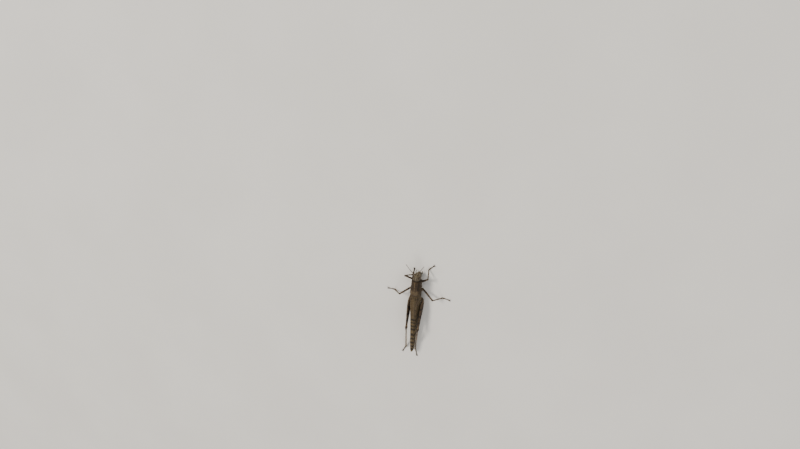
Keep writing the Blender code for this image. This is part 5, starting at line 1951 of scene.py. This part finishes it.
def build_stage(stage):
    """Pale floor, soft lights and the camera."""
    turns = full_turn(FLOOR_SIDES)
    rim = triple(FLOOR_RADIUS * np.cos(turns), FLOOR_RADIUS * np.sin(turns), -FLOOR_DROP)
    board = bpy.data.meshes.new("floor")
    board.from_pydata(rim.tolist(), [], [list(range(FLOOR_SIDES))])
    board.materials.append(floor_finish("Pale board", stage.floor_colour))
    floor = bpy.data.objects.new("floor", board)
    bpy.context.scene.collection.objects.link(floor)

    world = bpy.data.worlds.new("Soft room")
    world.use_nodes = True
    backdrop = world.node_tree.nodes["Background"]
    backdrop.inputs["Color"].default_value = ROOM_COLOUR
    backdrop.inputs["Strength"].default_value = stage.room_light
    bpy.context.scene.world = world
    for name, (place, size, share, colour) in LAMPS.items():
        lamp = bpy.data.lights.new(name, "AREA")
        lamp.shape = "DISK"
        lamp.size = size
        lamp.energy = stage.key_light * share
        lamp.color = colour
        aimed(name, lamp, Vector(place), Vector(LAMP_TARGET))

    turn, rise = stage.camera_azimuth, stage.camera_elevation
    aim = Vector((stage.aim_side, stage.aim_along, 0))
    away = Vector((math.cos(rise) * math.sin(turn), -math.cos(rise) * math.cos(turn), math.sin(rise)))
    lens = bpy.data.cameras.new("camera")
    lens.lens = stage.camera_lens
    lens.clip_start = 0.01
    place = aim + away * stage.camera_distance
    bpy.context.scene.camera = aimed("camera", lens, place, aim, stage.camera_roll)


# ---- settings

def colour_setting(name, description, default):
    """A colour that the sidebar shows."""
    kind = {"subtype": "COLOR", "size": 3, "min": 0, "max": 1}
    return FloatVectorProperty(name=name, description=description, default=default, **kind)


def amount_setting(name, description, default, unit="NONE"):
    """An amount that can't be less than nothing."""
    return FloatProperty(name=name, description=description, default=default, min=0, unit=unit)


def length_setting(name, description, default):
    """A length, from its default in millimetres."""
    units = {"subtype": "DISTANCE", "unit": "LENGTH", "precision": 6}
    return FloatProperty(name=name, description=description, default=default * MM, **units)


def angle_setting(name, description, default):
    """An angle, from its default in degrees."""
    units = {"subtype": "ANGLE", "unit": "ROTATION"}
    return FloatProperty(name=name, description=description, default=math.radians(default), **units)


class LocustColours(bpy.types.PropertyGroup):
    """Colours of the living shell, wings and horn."""

    face: colour_setting("Face", "Ground colour of the head", (0.082, 0.061, 0.034))
    face_pale: colour_setting("Pale face", "Light marks of the head", (0.138, 0.108, 0.063))
    shell_pale: colour_setting("Pale shell", "Light marks on the saddle and thighs", (0.128, 0.09, 0.048))
    shell: colour_setting("Shell", "Ground colour of the saddle and flanks", (0.056, 0.0345, 0.0145))
    shell_deep: colour_setting("Deep shell", "Darker mottling of the shell", (0.027, 0.0148, 0.0058))
    # Markings, darkened, also give the painted shade in the grooves of shells and legs.
    marking: colour_setting("Markings", "Near-black marks and bands", (0.0105, 0.0056, 0.0026))
    belly: colour_setting("Belly", "Underside and ringed plates", (0.132, 0.092, 0.051))
    # The eye's dark stripes, darkened, also give the painted shade round its rim.
    eye: colour_setting("Eye", "Dark stripes of the eye", (0.03, 0.0165, 0.0085))
    eye_stripe: colour_setting("Eye stripe", "Pale stripes of the eye", (0.08, 0.05, 0.025))
    feeler: colour_setting("Feelers", "Jointed feelers", (0.088, 0.054, 0.028))
    wing: colour_setting("Forewing", "Ground colour of the forewings", (0.043, 0.0255, 0.0115))
    wing_pale: colour_setting("Pale forewing", "Dusty back and free veins", (0.122, 0.084, 0.036))
    wing_band: colour_setting("Wing bands", "Broken crossbands", (0.0115, 0.0062, 0.0028))
    hindwing: colour_setting("Hindwing", "Clear part of the hindwing", (0.22, 0.198, 0.155))
    thigh: colour_setting("Thighs", "Ground colour of the thighs", (0.052, 0.031, 0.0145))
    shin: colour_setting("Hind shins", "Tan and violet-grey of the hind shins", (0.11, 0.078, 0.056))
    thorn: colour_setting("Thorns", "Ivory of the thorns and bristles", (0.4, 0.32, 0.205))
    foot: colour_setting("Feet", "Jointed feet", (0.044, 0.028, 0.0145))


class LocustSizes(bpy.types.PropertyGroup):
    """Sizes of the fine parts."""

    joints: IntProperty(name="Feeler joints", description="Joints in each feeler", default=25, min=8, max=40)
    feeler_width: length_setting("Feeler width", "Thickness of a feeler near its root", 0.42)
    keel_height: length_setting("Keel height", "How far the saddle's middle keel stands up", 0.3)
    vein_width: length_setting("Vein width", "Thickness of the forewing's main veins", 0.125)
    thorn_length: length_setting("Thorn length", "Length of a hind shin's thorns", 1.05)
    bristle_width: length_setting("Bristle width", "Thickness of a bristle at its root", 0.034)
    bristle_length: length_setting("Bristle length", "Length of the longest bristles", 0.42)
    bristle_density: amount_setting("Bristle density", "Bristles on each square millimetre of the legs", 1.6)


class LocustStage(bpy.types.PropertyGroup):
    """Floor, light and camera."""

    floor_colour: colour_setting("Floor", "Pale board under the animal", (0.63, 0.6, 0.545))
    key_light: amount_setting("Key light", "Power of the main soft light", 56, "POWER")
    room_light: amount_setting("Room light", "Brightness of the pale room", 0.52)
    camera_distance: length_setting("Camera distance", "From the camera to where it aims", 446.5)
    camera_azimuth: angle_setting("Camera azimuth", "Turn round the animal, from ahead of it", -28.57)
    camera_elevation: angle_setting("Camera elevation", "How steeply the camera looks down", 55.36)
    camera_roll: angle_setting("Camera roll", "Turn of the picture, so that the head is uppermost", 142.67)
    aim_side: length_setting("Aim across", "Where the camera aims, to the left", 15.53)
    aim_along: length_setting("Aim along", "Where the camera aims, backwards", -57.34)
    camera_lens: amount_setting("Lens", "Focal length of the camera", 33.12, "CAMERA")


# ---- operators

class LOCUST_OT_head(bpy.types.Operator):
    """Build the head capsule with its facial ridge, lip and jaws, and the soft neck"""

    bl_idname = "locust.head"
    bl_label = "Head"

    def execute(self, context):
        build_head()
        build_neck()
        return {"FINISHED"}


class LOCUST_OT_eyes(bpy.types.Operator):
    """Build the two striped eyes and the three simple ones"""

    bl_idname = "locust.eyes"
    bl_label = "Eyes"

    def execute(self, context):
        build_eyes()
        return {"FINISHED"}


class LOCUST_OT_feelers(bpy.types.Operator):
    """Thread the joints of the feelers along their routes and add the feelers of the mouth"""

    bl_idname = "locust.feelers"
    bl_label = "Feelers"

    def execute(self, context):
        build_feelers(context.scene.locust_sizes)
        return {"FINISHED"}


class LOCUST_OT_saddle(bpy.types.Operator):
    """Build the keeled and furrowed saddle shield"""

    bl_idname = "locust.saddle"
    bl_label = "Saddle"

    def execute(self, context):
        build_saddle(context.scene.locust_sizes)
        return {"FINISHED"}


class LOCUST_OT_flanks(bpy.types.Operator):
    """Build the breastplate and flanks with their slanting seams"""

    bl_idname = "locust.flanks"
    bl_label = "Flanks"

    def execute(self, context):
        build_thorax()
        return {"FINISHED"}


class LOCUST_OT_abdomen(bpy.types.Operator):
    """Build the ringed abdomen and the tail plates"""

    bl_idname = "locust.abdomen"
    bl_label = "Abdomen"

    def execute(self, context):
        build_abdomen()
        build_tail()
        return {"FINISHED"}


class LOCUST_OT_forewings(bpy.types.Operator):
    """Lay the banded forewings over the back and raise their veins"""

    bl_idname = "locust.forewings"
    bl_label = "Forewings"

    def execute(self, context):
        build_forewings(context.scene.locust_sizes)
        return {"FINISHED"}


class LOCUST_OT_hindwings(bpy.types.Operator):
    """Fold the pleated hindwings under the forewings"""

    bl_idname = "locust.hindwings"
    bl_label = "Hindwings"

    def execute(self, context):
        build_hindwings()
        return {"FINISHED"}


class LOCUST_OT_legs(bpy.types.Operator):
    """Build the six legs: hips, thighs, thorned shins and clawed feet"""

    bl_idname = "locust.legs"
    bl_label = "Legs"

    def execute(self, context):
        tree = thorn_tree()
        for pair, word in STANCE:
            build_leg(pair, word, context.scene.locust_sizes, tree)
        return {"FINISHED"}


class LOCUST_OT_bristles(bpy.types.Operator):
    """Scatter fine bristles over the legs, head and flanks"""

    bl_idname = "locust.bristles"
    bl_label = "Bristles"

    def execute(self, context):
        sizes = context.scene.locust_sizes
        limbs = [pair + "_" + word for pair, word in STANCE]
        shins = [kind + limb for limb in limbs for kind in ("shin_", "foot_")]
        thighs = ["thigh_" + limb for limb in limbs]
        body = ["flank_plates", "head_shell", "tail_plates"]
        build_bristles("shin_bristles", shins, "shin", sizes, density=2.2, length=1, seed=3)
        build_bristles("thigh_bristles", thighs, "thigh", sizes, density=1, length=0.8, seed=4)
        build_bristles("body_bristles", body, "cuticle", sizes, density=1.2, length=0.7, seed=5)
        return {"FINISHED"}


class LOCUST_OT_stage(bpy.types.Operator):
    """Set out the pale floor, the soft lights and the camera"""

    bl_idname = "locust.stage"
    bl_label = "Stage"

    def execute(self, context):
        build_stage(context.scene.locust_stage)
        return {"FINISHED"}


OPERATORS = (
    LOCUST_OT_stage,
    LOCUST_OT_head,
    LOCUST_OT_eyes,
    LOCUST_OT_feelers,
    LOCUST_OT_saddle,
    LOCUST_OT_flanks,
    LOCUST_OT_abdomen,
    LOCUST_OT_hindwings,
    LOCUST_OT_forewings,
    LOCUST_OT_legs,
    LOCUST_OT_bristles,
)


class LOCUST_PT_sidebar(bpy.types.Panel):
    """The locust's settings and the steps that build it"""

    bl_idname = "LOCUST_PT_sidebar"
    bl_label = "Egyptian Locust"
    bl_space_type = "VIEW_3D"
    bl_region_type = "UI"
    bl_category = "Locust"

    def draw(self, context):
        for settings in SETTINGS:
            column = self.layout.column()
            for name in SETTINGS[settings].__annotations__:
                column.prop(getattr(context.scene, settings), name)
        for operator in OPERATORS:
            self.layout.operator(operator.bl_idname)


SETTINGS = {"locust_colours": LocustColours, "locust_sizes": LocustSizes, "locust_stage": LocustStage}
CLASSES = (*SETTINGS.values(), *OPERATORS, LOCUST_PT_sidebar)


def register():
    for cls in CLASSES:
        bpy.utils.register_class(cls)
    for name, group in SETTINGS.items():
        setattr(bpy.types.Scene, name, PointerProperty(type=group))


def unregister():
    for name in SETTINGS:
        delattr(bpy.types.Scene, name)
    for cls in reversed(CLASSES):
        bpy.utils.unregister_class(cls)


def main():
    register()
    for operator in OPERATORS:
        group, step = operator.bl_idname.split(".")
        getattr(getattr(bpy.ops, group), step)()


if __name__ == "__main__":
    main()
